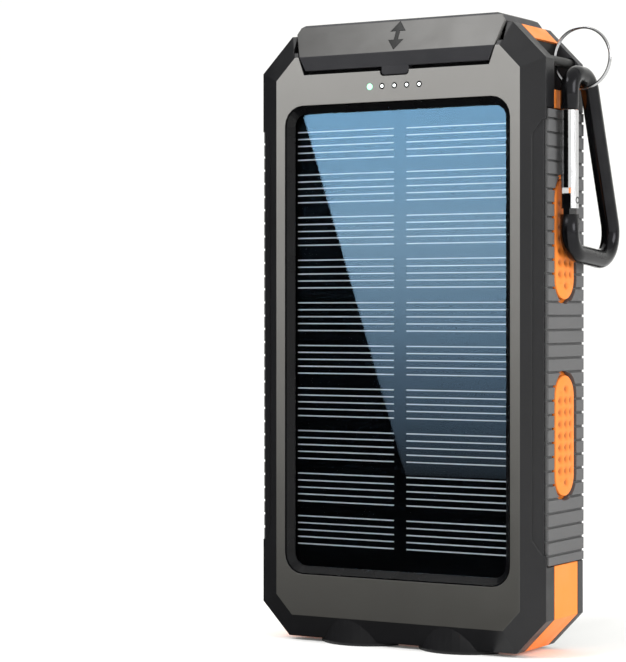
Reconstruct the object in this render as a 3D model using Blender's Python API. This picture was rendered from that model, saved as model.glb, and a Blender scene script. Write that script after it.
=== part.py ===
"""Solar phone charger: a rugged power bank with a solar window, port flap, torch lamps and carabiner.

Frame: +Z is up, the solar window faces -Y, and the charger stands on the rims of its two lamps.
Sizes are in metres. Outlines are drawn in the body's own frame, whose x = 0 and y = 0 planes halve the
body, and the root empty then centres the whole footprint on the origin.
"""
import math

import bmesh
import bpy
from mathutils import Matrix, Vector

MM = 0.001
GAP = 0.3 * MM                     # air between neighbouring pieces

# Body, read across its depth from the front face to the rear face
BODY_WIDTH = 78.0 * MM
BODY_HEIGHT = 147.5 * MM           # from the bottom edge to the shelf beside the flap
RIM_DROP = 1.0 * MM                # how far the lamp rims stand below the bottom edge
FRONT_BEVEL = 2.6 * MM
FRONT_WALL = 4.3 * MM
BAND_DEPTH = 13.0 * MM
REAR_WALL = 2.7 * MM
REAR_BEVEL = 1.8 * MM
BOTTOM_CHAMFER = (7.7 * MM, 8.0 * MM)
TOP_CHAMFER = (8.6 * MM, 8.7 * MM)
BEVEL_INSET = 5.6 * MM             # how far the bevels reach in from the outline
REAR_FACE_THICKNESS = 2.2 * MM
COVER_SIDE = 7.5 * MM              # solid edge of both covers outside their cavity
SIDE_PANEL_DEPTH = 0.5 * MM        # step of the long panel along each side of the front cover
SIDE_PANEL_END = 3.4 * MM          # length of its slanted ends
SIDE_PANEL_MARGIN = 2.6 * MM       # how far it ends beyond the grip
BAND_WALL = 3.0 * MM

BODY_DEPTH = FRONT_BEVEL + FRONT_WALL + BAND_DEPTH + REAR_WALL + REAR_BEVEL
FRONT_Y = -BODY_DEPTH / 2
FRONT_EDGE_Y = FRONT_Y + FRONT_BEVEL
FRONT_SEAM_Y = FRONT_EDGE_Y + FRONT_WALL
REAR_SEAM_Y = FRONT_SEAM_Y + BAND_DEPTH
REAR_EDGE_Y = REAR_SEAM_Y + REAR_WALL
REAR_Y = REAR_EDGE_Y + REAR_BEVEL
BAND_MID_Y = (FRONT_SEAM_Y + REAR_SEAM_Y) / 2
HALF_WIDTH = BODY_WIDTH / 2
BOTTOM_Z = RIM_DROP
TOP_Z = BOTTOM_Z + BODY_HEIGHT

# Solar window in the front face
WINDOW_HALF_WIDTH = 31.0 * MM
WINDOW_BOTTOM = 15.6 * MM          # above the body's bottom edge
WINDOW_TOP_MARGIN = 17.3 * MM      # below the body's shelf
WINDOW_CORNER = 5.0 * MM
RIM_WIDTH = 1.6 * MM
RIM_DEPTH = 2.0 * MM
GLASS_THICKNESS = 0.9 * MM
PANEL_THICKNESS = 1.0 * MM
WINDOW_Z = (BOTTOM_Z + WINDOW_BOTTOM, TOP_Z - WINDOW_TOP_MARGIN)

# Indicator lights above the window
LIGHT_COUNT = 5
LIGHT_PITCH = 3.4 * MM
LIGHT_RADIUS = 0.45 * MM
LIGHT_ABOVE_WINDOW = 3.7 * MM
LIGHT_BAR_HEIGHT = 2.6 * MM
LIGHT_BAR_DEPTH = 1.2 * MM

# Port flap over the top
FLAP_RISE = 2.5 * MM               # above the shelf
FLAP_HALF_WIDTH = 28.6 * MM
FLAP_TOP_INSET = 2.1 * MM
FLAP_LIP_INSET = 3.4 * MM
FLAP_SHOULDER_INSET = 1.8 * MM     # where the slope meets the lip
FLAP_LIP_HEIGHT = 3.4 * MM
FLAP_SLOPE_HEIGHT = 8.0 * MM
FLAP_LIP_THICKNESS = 2.4 * MM
FLAP_PLATE = 3.6 * MM
FLAP_REAR_SETBACK = 0.6 * MM
LIP_CLEARANCE = 1.0 * MM
TAB_HALF_WIDTH = 3.7 * MM
TAB_DROP = 2.0 * MM
KNUCKLE_RADIUS = 1.5 * MM
KNUCKLE_HALF_LENGTH = 20.0 * MM
EAR_LENGTH = 3.0 * MM
HINGE_PIN_RADIUS = 0.6 * MM
FLAP_TOP_Z = TOP_Z + FLAP_RISE
FLAP_UNDER_Z = FLAP_TOP_Z - FLAP_PLATE
FLAP_FRONT_Z = FLAP_TOP_Z - FLAP_SLOPE_HEIGHT
LIP_BOTTOM_Z = FLAP_FRONT_Z - FLAP_LIP_HEIGHT
HINGE_Y = REAR_EDGE_Y - 0.1 * MM
HINGE_Z = FLAP_UNDER_Z - 0.8 * MM
SILL_Z = HINGE_Z - 0.4 * MM

# Port face of the mid frame and its sockets
PORT_FACE_DROP = 3.2 * MM          # below the flap's underside
USB_A_SIZE = (13.0 * MM, 5.6 * MM)
USB_A_OFFSET = 14.0 * MM
USB_A_LENGTH = 13.0 * MM
USB_C_SIZE = (8.6 * MM, 3.2 * MM)
USB_C_LENGTH = 7.0 * MM
SHELL_WALL = 0.4 * MM
SOCKET_SETBACK = 0.3 * MM
PORT_FACE_Z = FLAP_UNDER_Z - PORT_FACE_DROP
SEAL_THICKNESS = 1.6 * MM

# Side grips and their pads
GRIP_BOTTOM = 20.8 * MM            # above the body's bottom edge
GRIP_LENGTH = 106.2 * MM
GRIP_EDGE = 0.8 * MM               # flat left beside the grip on the front cover
GRIP_REAR_EDGE = 0.2 * MM          # flat left beside the grip on the rear cover
GRIP_THICKNESS = 1.6 * MM
GRIP_PROUD = 0.3 * MM
RIB_PITCH = 3.28 * MM
RIB_GROOVE = 0.55 * MM
RIB_DEPTH = 0.6 * MM
PAD_SIZE = (9.8 * MM, 28.3 * MM)
PAD_CENTRES = (29.9 * MM, 76.1 * MM)     # above the grip's lower end
PAD_THICKNESS = 1.4 * MM
GRIP_Z = (BOTTOM_Z + GRIP_BOTTOM, BOTTOM_Z + GRIP_BOTTOM + GRIP_LENGTH)
GRIP_Y = (FRONT_EDGE_Y + GRIP_EDGE, REAR_EDGE_Y - GRIP_REAR_EDGE)
GRIP_OUTER_X = HALF_WIDTH + GRIP_PROUD
GRIP_INNER_X = GRIP_OUTER_X - GRIP_THICKNESS
PAD_Y = 0.2 * MM

# Torch lamps in the bottom
LAMP_OFFSET = 13.65 * MM
LAMP_RIM_RADIUS = 12.1 * MM
LAMP_TUBE_RADIUS = 9.9 * MM
LAMP_BORE_RADIUS = 8.2 * MM
LAMP_HEIGHT = 9.0 * MM
LAMP_SETBACK = 0.4 * MM            # the orange tube's end above the rims' lower face
LENS_RADIUS = 7.8 * MM
LENS_THICKNESS = 1.4 * MM
LENS_SETBACK = 0.9 * MM
REFLECTOR_THROAT = 2.6 * MM
REFLECTOR_HEIGHT = 5.0 * MM
REFLECTOR_WALL = 0.8 * MM
LED_SIZE = 3.4 * MM
LED_HEIGHT = 1.0 * MM
BOARD_THICKNESS = 1.2 * MM

# Inside
CELL_THICKNESS = 10.5 * MM
CELL_MARGIN = 1.5 * MM
CELL_HEIGHT = 80.0 * MM
FOAM_THICKNESS = 1.0 * MM
MAIN_BOARD_HEIGHT = 32.0 * MM
SCREW_HEAD_RADIUS = 1.5 * MM
SCREW_HEAD_HEIGHT = 1.0 * MM
SCREW_INSET = 4.0 * MM
LEAD_RADIUS = 0.5 * MM

# Power button on the left side, above the grip
BUTTON_SIZE = (4.4 * MM, 6.0 * MM)
BUTTON_ABOVE_GRIP = 6.0 * MM
BUTTON_PROUD = 0.5 * MM
BUTTON_LENGTH = 3.6 * MM
BUTTON_FLANGE = 0.9 * MM
BUTTON_TRAVEL = 0.4 * MM
SWITCH_SIZE = 3.0 * MM

# Compass in the rear face
COMPASS_BELOW_SHELF = 19.6 * MM
COMPASS_RADIUS = 8.4 * MM
COMPASS_WALL = 1.0 * MM
COMPASS_DEPTH = 6.0 * MM
COMPASS_PROUD = 0.5 * MM
CARD_RADIUS = 6.6 * MM
CARD_THICKNESS = 0.6 * MM
CARD_DEPTH = 3.2 * MM              # card below the bezel's edge
PIVOT_RADIUS = 0.5 * MM
DOME_RISE = 1.4 * MM
DOME_THICKNESS = 0.7 * MM

# Corner notch, split ring and carabiner
PIN_FROM_SIDE = 2.2 * MM
PIN_BELOW_SHELF = 8.6 * MM
PIN_RADIUS = 1.1 * MM
PIN_SEAT = 1.5 * MM
NOTCH_WIDTH = 5.9 * MM
RING_RADIUS = 7.2 * MM
RING_WIRE = 0.55 * MM
RING_REST_ANGLE = math.radians(8)
RING_Y = 3.6 * MM
ROD_RADIUS = 2.2 * MM
CARABINER_LENGTH = 48.4 * MM
CARABINER_WIDTH = 30.4 * MM
CARABINER_TILT = 2.5 * MM          # how far the foot rises towards the gate
CARABINER_CREST = 10.0 * MM        # level top, from the gate's line
CARABINER_BENDS = (5.0 * MM, 6.5 * MM, 5.0 * MM, 4.4 * MM)
GATE_LENGTH = 24.6 * MM
GATE_RADIUS = 2.1 * MM
GATE_HEEL = 1.9 * MM               # gate left below the rivet's axis
FORK_DEPTH = 2.9 * MM              # fork above the rivet's axis
RIVET_RADIUS = 0.55 * MM
RIVET_SET_BACK = 0.1 * MM          # rivet ends below the gate's round side
TONGUE_THICKNESS = 1.6 * MM
TONGUE_HALF_WIDTH = 1.8 * MM
TONGUE_RISE = 1.6 * MM             # above the rivet's axis

ROUND_SEGMENTS = 32


# ---------------------------------------------------------------- shapes

def spread(bm, name):
    """Turn a bmesh into a linked object with its faces turned outward."""
    bmesh.ops.recalc_face_normals(bm, faces=bm.faces)
    mesh = bpy.data.meshes.new(name)
    bm.to_mesh(mesh)
    bm.free()
    piece = bpy.data.objects.new(name, mesh)
    bpy.context.collection.objects.link(piece)
    return piece


def placed(axis, u, v, along):
    """A point whose two outline coordinates are u and v, at a distance along the axis."""
    if axis == "X":
        return Vector((along, u, v))
    if axis == "Y":
        return Vector((u, along, v))
    return Vector((u, v, along))


def loft(name, axis, sections, closed=False):
    """Skin equal-length outlines, given as (distance along the axis, outline) pairs."""
    bm = bmesh.new()
    rings = [[bm.verts.new(placed(axis, u, v, along)) for u, v in outline]
             for along, outline in sections]
    count = len(rings[0])
    pairs = list(zip(rings, rings[1:]))
    if closed:
        pairs.append((rings[-1], rings[0]))
    for lower, upper in pairs:
        for i in range(count):
            j = (i + 1) % count
            bm.faces.new((lower[i], lower[j], upper[j], upper[i]))
    if not closed:
        bm.faces.new(rings[0])
        bm.faces.new(rings[-1])
    return spread(bm, name)


def prism(name, axis, outline, start, end):
    """An outline drawn across an axis and extruded from start to end."""
    return loft(name, axis, [(start, outline), (end, outline)])


def box(name, x, y, z):
    """A box between pairs of x, y and z."""
    outline = [(x[0], z[0]), (x[1], z[0]), (x[1], z[1]), (x[0], z[1])]
    return prism(name, "Y", outline, y[0], y[1])


def circle(radius, centre=(0.0, 0.0), segments=ROUND_SEGMENTS):
    """Points round a circle."""
    return [(centre[0] + radius * math.cos(2 * math.pi * i / segments),
             centre[1] + radius * math.sin(2 * math.pi * i / segments)) for i in range(segments)]


def rounded_box(u, v, radius, steps=5):
    """A rectangle between pairs u and v with round corners."""
    centres = [(u[1] - radius, v[1] - radius, 0), (u[0] + radius, v[1] - radius, 90),
               (u[0] + radius, v[0] + radius, 180), (u[1] - radius, v[0] + radius, 270)]
    points = []
    for cu, cv, first in centres:
        for i in range(steps + 1):
            angle = math.radians(first + 90 * i / steps)
            points.append((cu + radius * math.cos(angle), cv + radius * math.sin(angle)))
    return points


def turned(name, axis, centre, profile, segments=ROUND_SEGMENTS):
    """A closed ring turned round an axis from a profile of (radius, distance along the axis)."""
    sections = []
    for i in range(segments):
        angle = 2 * math.pi * i / segments
        sections.append((math.cos(angle), math.sin(angle)))
    bm = bmesh.new()
    rings = [[bm.verts.new(placed(axis, centre[0] + radius * c, centre[1] + radius * s, along))
              for radius, along in profile] for c, s in sections]
    count = len(profile)
    for first, second in zip(rings, rings[1:] + rings[:1]):
        for i in range(count):
            j = (i + 1) % count
            bm.faces.new((first[i], first[j], second[j], second[i]))
    return spread(bm, name)


def disc(name, axis, centre, radius, start, end, segments=ROUND_SEGMENTS):
    """A round bar or disc across the axis."""
    return prism(name, axis, circle(radius, centre, segments), start, end)


def tube(name, path, radius, closed=False, sides=12):
    """A round rod along a list of points, with flat ends unless it closes on itself."""
    bm = bmesh.new()
    count = len(path)
    rings = []
    normal = None
    for i, point in enumerate(path):
        before = path[i - 1] if i or closed else point
        after = path[(i + 1) % count] if i + 1 < count or closed else point
        tangent = (after - before).normalized()
        if normal is None:
            reference = Vector((1, 0, 0)) if abs(tangent.x) < 0.5 else Vector((0, 1, 0))
            normal = reference
        normal = (normal - tangent * normal.dot(tangent)).normalized()
        other = tangent.cross(normal)
        rings.append([bm.verts.new(point + radius * (math.cos(a) * normal + math.sin(a) * other))
                      for a in (2 * math.pi * k / sides for k in range(sides))])
    pairs = list(zip(rings, rings[1:]))
    if closed:
        pairs.append((rings[-1], rings[0]))
    for lower, upper in pairs:
        for i in range(sides):
            j = (i + 1) % sides
            bm.faces.new((lower[i], lower[j], upper[j], upper[i]))
    if not closed:
        bm.faces.new(rings[0])
        bm.faces.new(rings[-1])
    return spread(bm, name)


def use(target, operation, tools):
    """Apply hidden tool solids to a piece with exact Booleans."""
    for tool in tools:
        tool.hide_render = True
        tool.display_type = "WIRE"
        step = target.modifiers.new(tool.name, "BOOLEAN")
        step.operation = operation
        step.solver = "EXACT"
        step.object = tool


def cut(target, *tools):
    """Take hidden tool solids away from a piece."""
    use(target, "DIFFERENCE", tools)


def fuse(target, *tools):
    """Join hidden tool solids to a piece."""
    use(target, "UNION", tools)


def set_pivot(piece, point):
    """Move a piece's origin to its joint's axis without moving the piece."""
    piece.data.transform(Matrix.Translation(-Vector(point)))
    piece.location = point


def soften(piece, width, segments=2):
    """Round a piece's sharp edges a little."""
    bevel = piece.modifiers.new("edge_round", "BEVEL")
    bevel.width = width
    bevel.segments = segments
    bevel.limit_method = "ANGLE"
    bevel.angle_limit = math.radians(35)
    bevel.harden_normals = False


def finish(piece, colour, roughness=0.5, metallic=0.0, smooth=False):
    """Give a piece its material, and smooth shading if it is round."""
    material = bpy.data.materials.new(piece.name)
    material.use_nodes = True
    shader = material.node_tree.nodes["Principled BSDF"]
    shader.inputs["Base Color"].default_value = (*colour, 1.0)
    shader.inputs["Roughness"].default_value = roughness
    shader.inputs["Metallic"].default_value = metallic
    piece.data.materials.append(material)
    if smooth:
        piece.data.shade_smooth()
        piece.data.set_sharp_from_angle(angle=math.radians(35))
    return piece


# ---------------------------------------------------------------- colours

GREY = (0.30, 0.30, 0.30)
CHARCOAL = (0.045, 0.045, 0.05)
BLACK = (0.015, 0.015, 0.017)
ORANGE = (0.90, 0.29, 0.05)
RUBBER = (0.16, 0.16, 0.16)
SILVER = (0.75, 0.75, 0.76)
CLEAR = (0.85, 0.88, 0.90)
RED = (0.5, 0.02, 0.02)
BOARD_GREEN = (0.03, 0.16, 0.07)
CELL_BLUE = (0.06, 0.13, 0.26)


# ---------------------------------------------------------------- outlines shared by several pieces

def body_outline(inset=0.0):
    """The body's eight-sided outline, moved inward by an inset."""
    trim = inset * (math.sqrt(2) - 1)
    half = HALF_WIDTH - inset
    low = BOTTOM_Z + inset
    high = TOP_Z - inset
    bottom = (BOTTOM_CHAMFER[0] - inset + trim, BOTTOM_CHAMFER[1] - inset + trim)
    top = (TOP_CHAMFER[0] - inset + trim, TOP_CHAMFER[1] - inset + trim)
    right = [(half - bottom[0], low), (half, low + bottom[1]), (half, high - top[1]), (half - top[0], high)]
    return right + [(-x, z) for x, z in reversed(right)]


def flap_outline(grow=0.0, drop=0.0):
    """The flap seen from the front, grown by a clearance and carried down by a drop."""
    right = [(FLAP_HALF_WIDTH - FLAP_LIP_INSET + grow, LIP_BOTTOM_Z - drop),
             (FLAP_HALF_WIDTH - FLAP_SHOULDER_INSET + grow, FLAP_FRONT_Z),
             (FLAP_HALF_WIDTH + grow, TOP_Z + 0.4 * MM),
             (FLAP_HALF_WIDTH - 0.9 * MM + grow, FLAP_TOP_Z - 0.5 * MM),
             (FLAP_HALF_WIDTH - FLAP_TOP_INSET + grow, FLAP_TOP_Z + grow)]
    return right + [(-x, z) for x, z in reversed(right)]


def cavity_outline(z_low, z_high, margin=0.0):
    """The covers' cavity, between two heights."""
    half = HALF_WIDTH - COVER_SIDE - margin
    return rounded_box((-half, half), (z_low + margin, z_high - margin), 3 * MM)


LAMP_TOP_Z = LAMP_HEIGHT
CAVITY_LOW = LAMP_TOP_Z + 2.0 * MM + BOARD_THICKNESS
LIGHT_Z = WINDOW_Z[1] + LIGHT_ABOVE_WINDOW
CAVITY_HIGH = LIGHT_Z + LIGHT_BAR_HEIGHT / 2 + GAP
PIN_X = HALF_WIDTH - PIN_FROM_SIDE
PIN_Z = TOP_Z - PIN_BELOW_SHELF
RING_REACH = RING_RADIUS - RING_WIRE - PIN_RADIUS - GAP
RING_X = PIN_X + RING_REACH * math.cos(RING_REST_ANGLE)
RING_Z = PIN_Z + RING_REACH * math.sin(RING_REST_ANGLE)
NOTCH_LOW = RING_Z - math.sqrt(RING_RADIUS ** 2 - (RING_X - HALF_WIDTH) ** 2) - RING_WIRE - 3 * GAP
NOTCH_HIGH = PIN_Z + 5.0 * MM
GLASS_FRONT_Y = FRONT_Y + RIM_DEPTH + GAP
PANEL_FRONT_Y = GLASS_FRONT_Y + GLASS_THICKNESS + GAP
COVER_INNER_Y = PANEL_FRONT_Y - GAP
REAR_INNER_Y = REAR_Y - REAR_FACE_THICKNESS
BUTTON_Z = GRIP_Z[1] + BUTTON_ABOVE_GRIP
COMPASS_Z = TOP_Z - COMPASS_BELOW_SHELF


# ---------------------------------------------------------------- covers and mid frame

def both_sides(distance):
    """The same distance on the left and on the right."""
    return (-distance, distance)


def half_disc(name, x, side, radius, chord_y, z_low, z_high):
    """The part of a lamp rim's disc that stands beyond a seam, on the front (-1) or the rear (+1)."""
    reach = math.acos(abs(chord_y) / radius)
    steps = 14
    outline = []
    for i in range(steps + 1):
        angle = side * math.pi / 2 - reach + 2 * reach * i / steps
        outline.append((x + radius * math.cos(angle), radius * math.sin(angle)))
    return prism(name, "Z", outline, z_low, z_high)


def lamp_rims(cover, side, seam_y):
    """Give a cover its part of both lamp rims, with room for the orange tubes."""
    for x in both_sides(LAMP_OFFSET):
        fuse(cover, half_disc("rim_tool", x, side, LAMP_RIM_RADIUS, seam_y, 0.0, LAMP_HEIGHT))
    for x in both_sides(LAMP_OFFSET):
        cut(cover, disc("tube_room_tool", "Z", (x, 0.0), LAMP_TUBE_RADIUS + GAP, -MM, LAMP_HEIGHT + GAP))


def grip_pockets(piece):
    """Cut the shallow pockets that the side grips sit in."""
    for side in (-1, 1):
        x = sorted((side * (GRIP_INNER_X - GAP), side * (HALF_WIDTH + MM)))
        y = (GRIP_Y[0] - GAP, GRIP_Y[1] + GAP)
        z = (GRIP_Z[0] - GAP, GRIP_Z[1] + GAP)
        cut(piece, box("grip_room_tool", x, y, z))


def pin_seat(piece, seam_y, side):
    """Cut the blind seat of the ring's cross pin in a cover."""
    ends = sorted((seam_y - side * MM, seam_y + side * (PIN_SEAT + GAP)))
    cut(piece, disc("pin_seat_tool", "Y", (PIN_X, PIN_Z), PIN_RADIUS + GAP, *ends, segments=20))


def side_panel(side):
    """The long shallow step cut along one side of the front cover, narrowing at its ends."""
    deep = HALF_WIDTH - SIDE_PANEL_DEPTH
    halfway = FRONT_EDGE_Y - FRONT_BEVEL / 2
    beyond = HALF_WIDTH + 2 * MM

    def section(y):
        """The cut across x and y, when the panel reaches forward to y."""
        x = deep - (FRONT_EDGE_Y - y) * BEVEL_INSET / FRONT_BEVEL
        return [(side * u, v) for u, v in ((deep, FRONT_SEAM_Y + MM), (deep, FRONT_EDGE_Y), (x, y),
                                           (beyond, y), (beyond, FRONT_SEAM_Y + MM))]

    low = GRIP_Z[0] + SIDE_PANEL_MARGIN
    high = GRIP_Z[1] - SIDE_PANEL_MARGIN
    narrow = section(FRONT_EDGE_Y - GAP)
    wide = section(halfway)
    return loft("side_panel_tool", "Z", [(low, narrow), (low + SIDE_PANEL_END, wide),
                                         (high - SIDE_PANEL_END, wide), (high, narrow)])


def front_cover():
    """The grey front cover, with its window opening, light holes and flap recess."""
    cover = loft("front_cover", "Y", [(FRONT_SEAM_Y, body_outline()), (FRONT_EDGE_Y, body_outline()),
                                      (FRONT_Y, body_outline(BEVEL_INSET))])
    lamp_rims(cover, -1, FRONT_SEAM_Y)
    cut(cover, prism("cavity_tool", "Y", cavity_outline(CAVITY_LOW, CAVITY_HIGH),
                     COVER_INNER_Y, FRONT_SEAM_Y + MM))
    opening = rounded_box(both_sides(WINDOW_HALF_WIDTH), WINDOW_Z, WINDOW_CORNER)
    cut(cover, prism("opening_tool", "Y", opening, FRONT_Y - MM, COVER_INNER_Y + MM))
    for x in light_places():
        cut(cover, disc("light_hole_tool", "Y", (x, LIGHT_Z), LIGHT_RADIUS + GAP,
                        FRONT_Y - MM, COVER_INNER_Y + MM, 12))
    lip_back = FRONT_Y + FLAP_LIP_THICKNESS + GAP
    cut(cover, prism("lip_room_tool", "Y", flap_outline(GAP, LIP_CLEARANCE), FRONT_Y - MM, lip_back))
    tab = rounded_box(both_sides(TAB_HALF_WIDTH + GAP), (LIP_BOTTOM_Z - TAB_DROP - GAP, FLAP_FRONT_Z), MM)
    cut(cover, prism("tab_room_tool", "Y", tab, FRONT_Y - MM, lip_back))
    cut(cover, box("flap_room_tool", both_sides(FLAP_HALF_WIDTH + GAP),
                   (FRONT_Y - MM, FRONT_SEAM_Y + MM), (PORT_FACE_Z, FLAP_TOP_Z)))
    for side in (-1, 1):
        cut(cover, side_panel(side))
    grip_pockets(cover)
    pin_seat(cover, FRONT_SEAM_Y, -1)
    return finish(cover, GREY, 0.45)


def light_places():
    """Where the indicator lights are, from left to right."""
    first = -LIGHT_PITCH * (LIGHT_COUNT - 1) / 2
    return [first + LIGHT_PITCH * i for i in range(LIGHT_COUNT)]


def trapezoid(half_top, half_bottom, z_top, z_bottom):
    """A four-sided outline that narrows from one height to another."""
    return [(-half_bottom, z_bottom), (half_bottom, z_bottom), (half_top, z_top), (-half_top, z_top)]


def rear_cover():
    """The rear cover, with the compass hole, its shallow panels and the flap's hinge ears."""
    cover = loft("rear_cover", "Y", [(REAR_SEAM_Y, body_outline()), (REAR_EDGE_Y, body_outline()),
                                     (REAR_Y, body_outline(BEVEL_INSET))])
    lamp_rims(cover, 1, REAR_SEAM_Y)
    cut(cover, prism("cavity_tool", "Y", cavity_outline(CAVITY_LOW, CAVITY_HIGH),
                     REAR_SEAM_Y - MM, REAR_INNER_Y))
    cut(cover, box("flap_room_tool", both_sides(FLAP_HALF_WIDTH + GAP),
                   (REAR_SEAM_Y - MM, REAR_Y + MM), (SILL_Z, FLAP_TOP_Z)))
    for side in (-1, 1):
        ends = sorted((side * (KNUCKLE_HALF_LENGTH + GAP), side * (KNUCKLE_HALF_LENGTH + GAP + EAR_LENGTH)))
        fuse(cover, disc("ear_tool", "X", (HINGE_Y, HINGE_Z), KNUCKLE_RADIUS, *ends, segments=24))
    reach = KNUCKLE_HALF_LENGTH + GAP
    cut(cover, disc("knuckle_room_tool", "X", (HINGE_Y, HINGE_Z), KNUCKLE_RADIUS + 3 * GAP,
                    -reach, reach, 24))
    reach = KNUCKLE_HALF_LENGTH + EAR_LENGTH + MM
    cut(cover, disc("hinge_bore_tool", "X", (HINGE_Y, HINGE_Z), HINGE_PIN_RADIUS + GAP, -reach, reach, 16))
    cut(cover, disc("compass_hole_tool", "Y", (0.0, COMPASS_Z), COMPASS_RADIUS + GAP,
                    REAR_SEAM_Y - MM, REAR_Y + MM))
    rear_panels(cover)
    grip_pockets(cover)
    pin_seat(cover, REAR_SEAM_Y, 1)
    return finish(cover, CHARCOAL, 0.55)


PANEL_HALF_WIDTH = 27.0 * MM
PANEL_CHAMFER = 7.0 * MM
PANEL_DEPTH = 0.5 * MM
RECESS_DEPTH = 0.8 * MM
UPPER_PANEL_Z = (66.0 * MM, 98.7 * MM)
LOWER_PANEL_Z = (15.0 * MM, 33.0 * MM)
RAIL_X = 32.0 * MM
RAIL_WIDTH = 1.0 * MM
RAIL_Z = (24.0 * MM, 132.5 * MM)
LANYARD_HOLE = (31.0 * MM, 137.6 * MM)
LANYARD_RADIUS = 1.6 * MM
BADGE_HALF_WIDTHS = (18.9 * MM, 13.2 * MM)
BADGE_Z = (100.4 * MM, 111.7 * MM)
BADGE_SLOT = (12.4 * MM, 1.2 * MM)
COMPASS_PANEL_HALF_WIDTHS = (30.5 * MM, 17.2 * MM)
COMPASS_PANEL_Z = (113.6 * MM, 141.0 * MM)
SHARP_CORNER = 0.1 * MM            # chamfer of a panel corner that looks square


def chamfered_panel(z_low, z_high, cut_top, cut_bottom):
    """A wide panel outline whose upper or lower corners are cut off."""
    half = PANEL_HALF_WIDTH
    top = PANEL_CHAMFER if cut_top else SHARP_CORNER
    low = PANEL_CHAMFER if cut_bottom else SHARP_CORNER
    right = [(half - low, z_low), (half, z_low + low), (half, z_high - top), (half - top, z_high)]
    return right + [(-x, z) for x, z in reversed(right)]


def rear_panels(cover):
    """Sink the rear face's shallow panels, rails, slot and lanyard hole."""
    floor = REAR_Y - RECESS_DEPTH
    beyond = REAR_Y + MM
    cut(cover, prism("compass_panel_tool", "Y",
                     trapezoid(*COMPASS_PANEL_HALF_WIDTHS, COMPASS_PANEL_Z[1], COMPASS_PANEL_Z[0]),
                     floor, beyond))
    cut(cover, prism("badge_tool", "Y", trapezoid(*BADGE_HALF_WIDTHS, BADGE_Z[1], BADGE_Z[0]),
                     REAR_Y - PANEL_DEPTH, beyond))
    middle = (BADGE_Z[0] + BADGE_Z[1]) / 2
    cut(cover, box("badge_slot_tool", both_sides(BADGE_SLOT[0]), (floor - PANEL_DEPTH, beyond),
                   (middle - BADGE_SLOT[1], middle + BADGE_SLOT[1])))
    cut(cover, prism("upper_panel_tool", "Y", chamfered_panel(*UPPER_PANEL_Z, True, False),
                     REAR_Y - PANEL_DEPTH, beyond))
    cut(cover, prism("lower_panel_tool", "Y", chamfered_panel(*LOWER_PANEL_Z, False, True),
                     REAR_Y - PANEL_DEPTH, beyond))
    for side in (-1, 1):
        x = (side * RAIL_X - RAIL_WIDTH / 2, side * RAIL_X + RAIL_WIDTH / 2)
        cut(cover, box("rail_tool", x, (REAR_Y - PANEL_DEPTH, beyond), RAIL_Z))
    cut(cover, disc("lanyard_tool", "Y", LANYARD_HOLE, LANYARD_RADIUS, floor - PANEL_DEPTH, beyond, 20))


def mid_frame():
    """The orange frame between the covers, with the port face, the lamp tubes and the ring's notch."""
    front = FRONT_SEAM_Y + GAP
    rear = REAR_SEAM_Y - GAP
    frame = prism("mid_frame", "Y", body_outline(), front, rear)
    for x in both_sides(LAMP_OFFSET):
        fuse(frame, disc("tube_tool", "Z", (x, 0.0), LAMP_TUBE_RADIUS, LAMP_SETBACK, LAMP_HEIGHT))
    inner = HALF_WIDTH - BAND_WALL
    notch_x = HALF_WIDTH - NOTCH_WIDTH
    notch_wall = 1.5 * MM
    top = PORT_FACE_Z - BAND_WALL
    room = [(-inner, CAVITY_LOW), (inner, CAVITY_LOW), (inner, NOTCH_LOW - notch_wall),
            (notch_x - notch_wall, NOTCH_LOW - notch_wall), (notch_x - notch_wall, top),
            (-inner + 2 * MM, top), (-inner, top - 2 * MM)]
    cut(frame, prism("room_tool", "Y", room, front - MM, rear + MM))
    cut(frame, box("port_face_tool", both_sides(FLAP_HALF_WIDTH + GAP), (front - MM, rear + MM),
                   (PORT_FACE_Z, FLAP_TOP_Z)))
    cut(frame, box("notch_tool", (notch_x, HALF_WIDTH + MM), (front - MM, rear + MM),
                   (NOTCH_LOW, NOTCH_HIGH)))
    for x in both_sides(LAMP_OFFSET):
        cut(frame, disc("bore_tool", "Z", (x, 0.0), LAMP_BORE_RADIUS, -MM, CAVITY_LOW + MM))
    for x, size in socket_places():
        cut(frame, box("port_tool", (x - size[0] / 2 - GAP, x + size[0] / 2 + GAP),
                       (BAND_MID_Y - size[1] / 2 - GAP, BAND_MID_Y + size[1] / 2 + GAP),
                       (top - MM, PORT_FACE_Z + MM)))
    hole = rounded_box((-BUTTON_SIZE[0] / 2 - GAP + BAND_MID_Y, BUTTON_SIZE[0] / 2 + GAP + BAND_MID_Y),
                       (BUTTON_Z - BUTTON_SIZE[1] / 2 - GAP, BUTTON_Z + BUTTON_SIZE[1] / 2 + GAP), 2 * MM)
    cut(frame, prism("button_hole_tool", "X", hole, -HALF_WIDTH - MM, -inner + MM))
    grip_pockets(frame)
    return finish(frame, ORANGE, 0.45)


def socket_places():
    """The three sockets' x and their size across."""
    return [(-USB_A_OFFSET, USB_A_SIZE), (0.0, USB_C_SIZE), (USB_A_OFFSET, USB_A_SIZE)]


# ---------------------------------------------------------------- window, panel and lights

def window_rim():
    """The black sloped rim round the solar window."""
    outer = rounded_box(both_sides(WINDOW_HALF_WIDTH - GAP), (WINDOW_Z[0] + GAP, WINDOW_Z[1] - GAP),
                        WINDOW_CORNER - GAP)
    inset = GAP + RIM_WIDTH
    inner = rounded_box(both_sides(WINDOW_HALF_WIDTH - inset), (WINDOW_Z[0] + inset, WINDOW_Z[1] - inset),
                        WINDOW_CORNER - inset)
    back = GLASS_FRONT_Y - GAP
    rim = loft("window_rim", "Y", [(FRONT_Y + GAP / 2, outer), (back, outer), (back, inner),
                                   (back - GAP, inner)], closed=True)
    return finish(rim, BLACK, 0.35)


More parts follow.
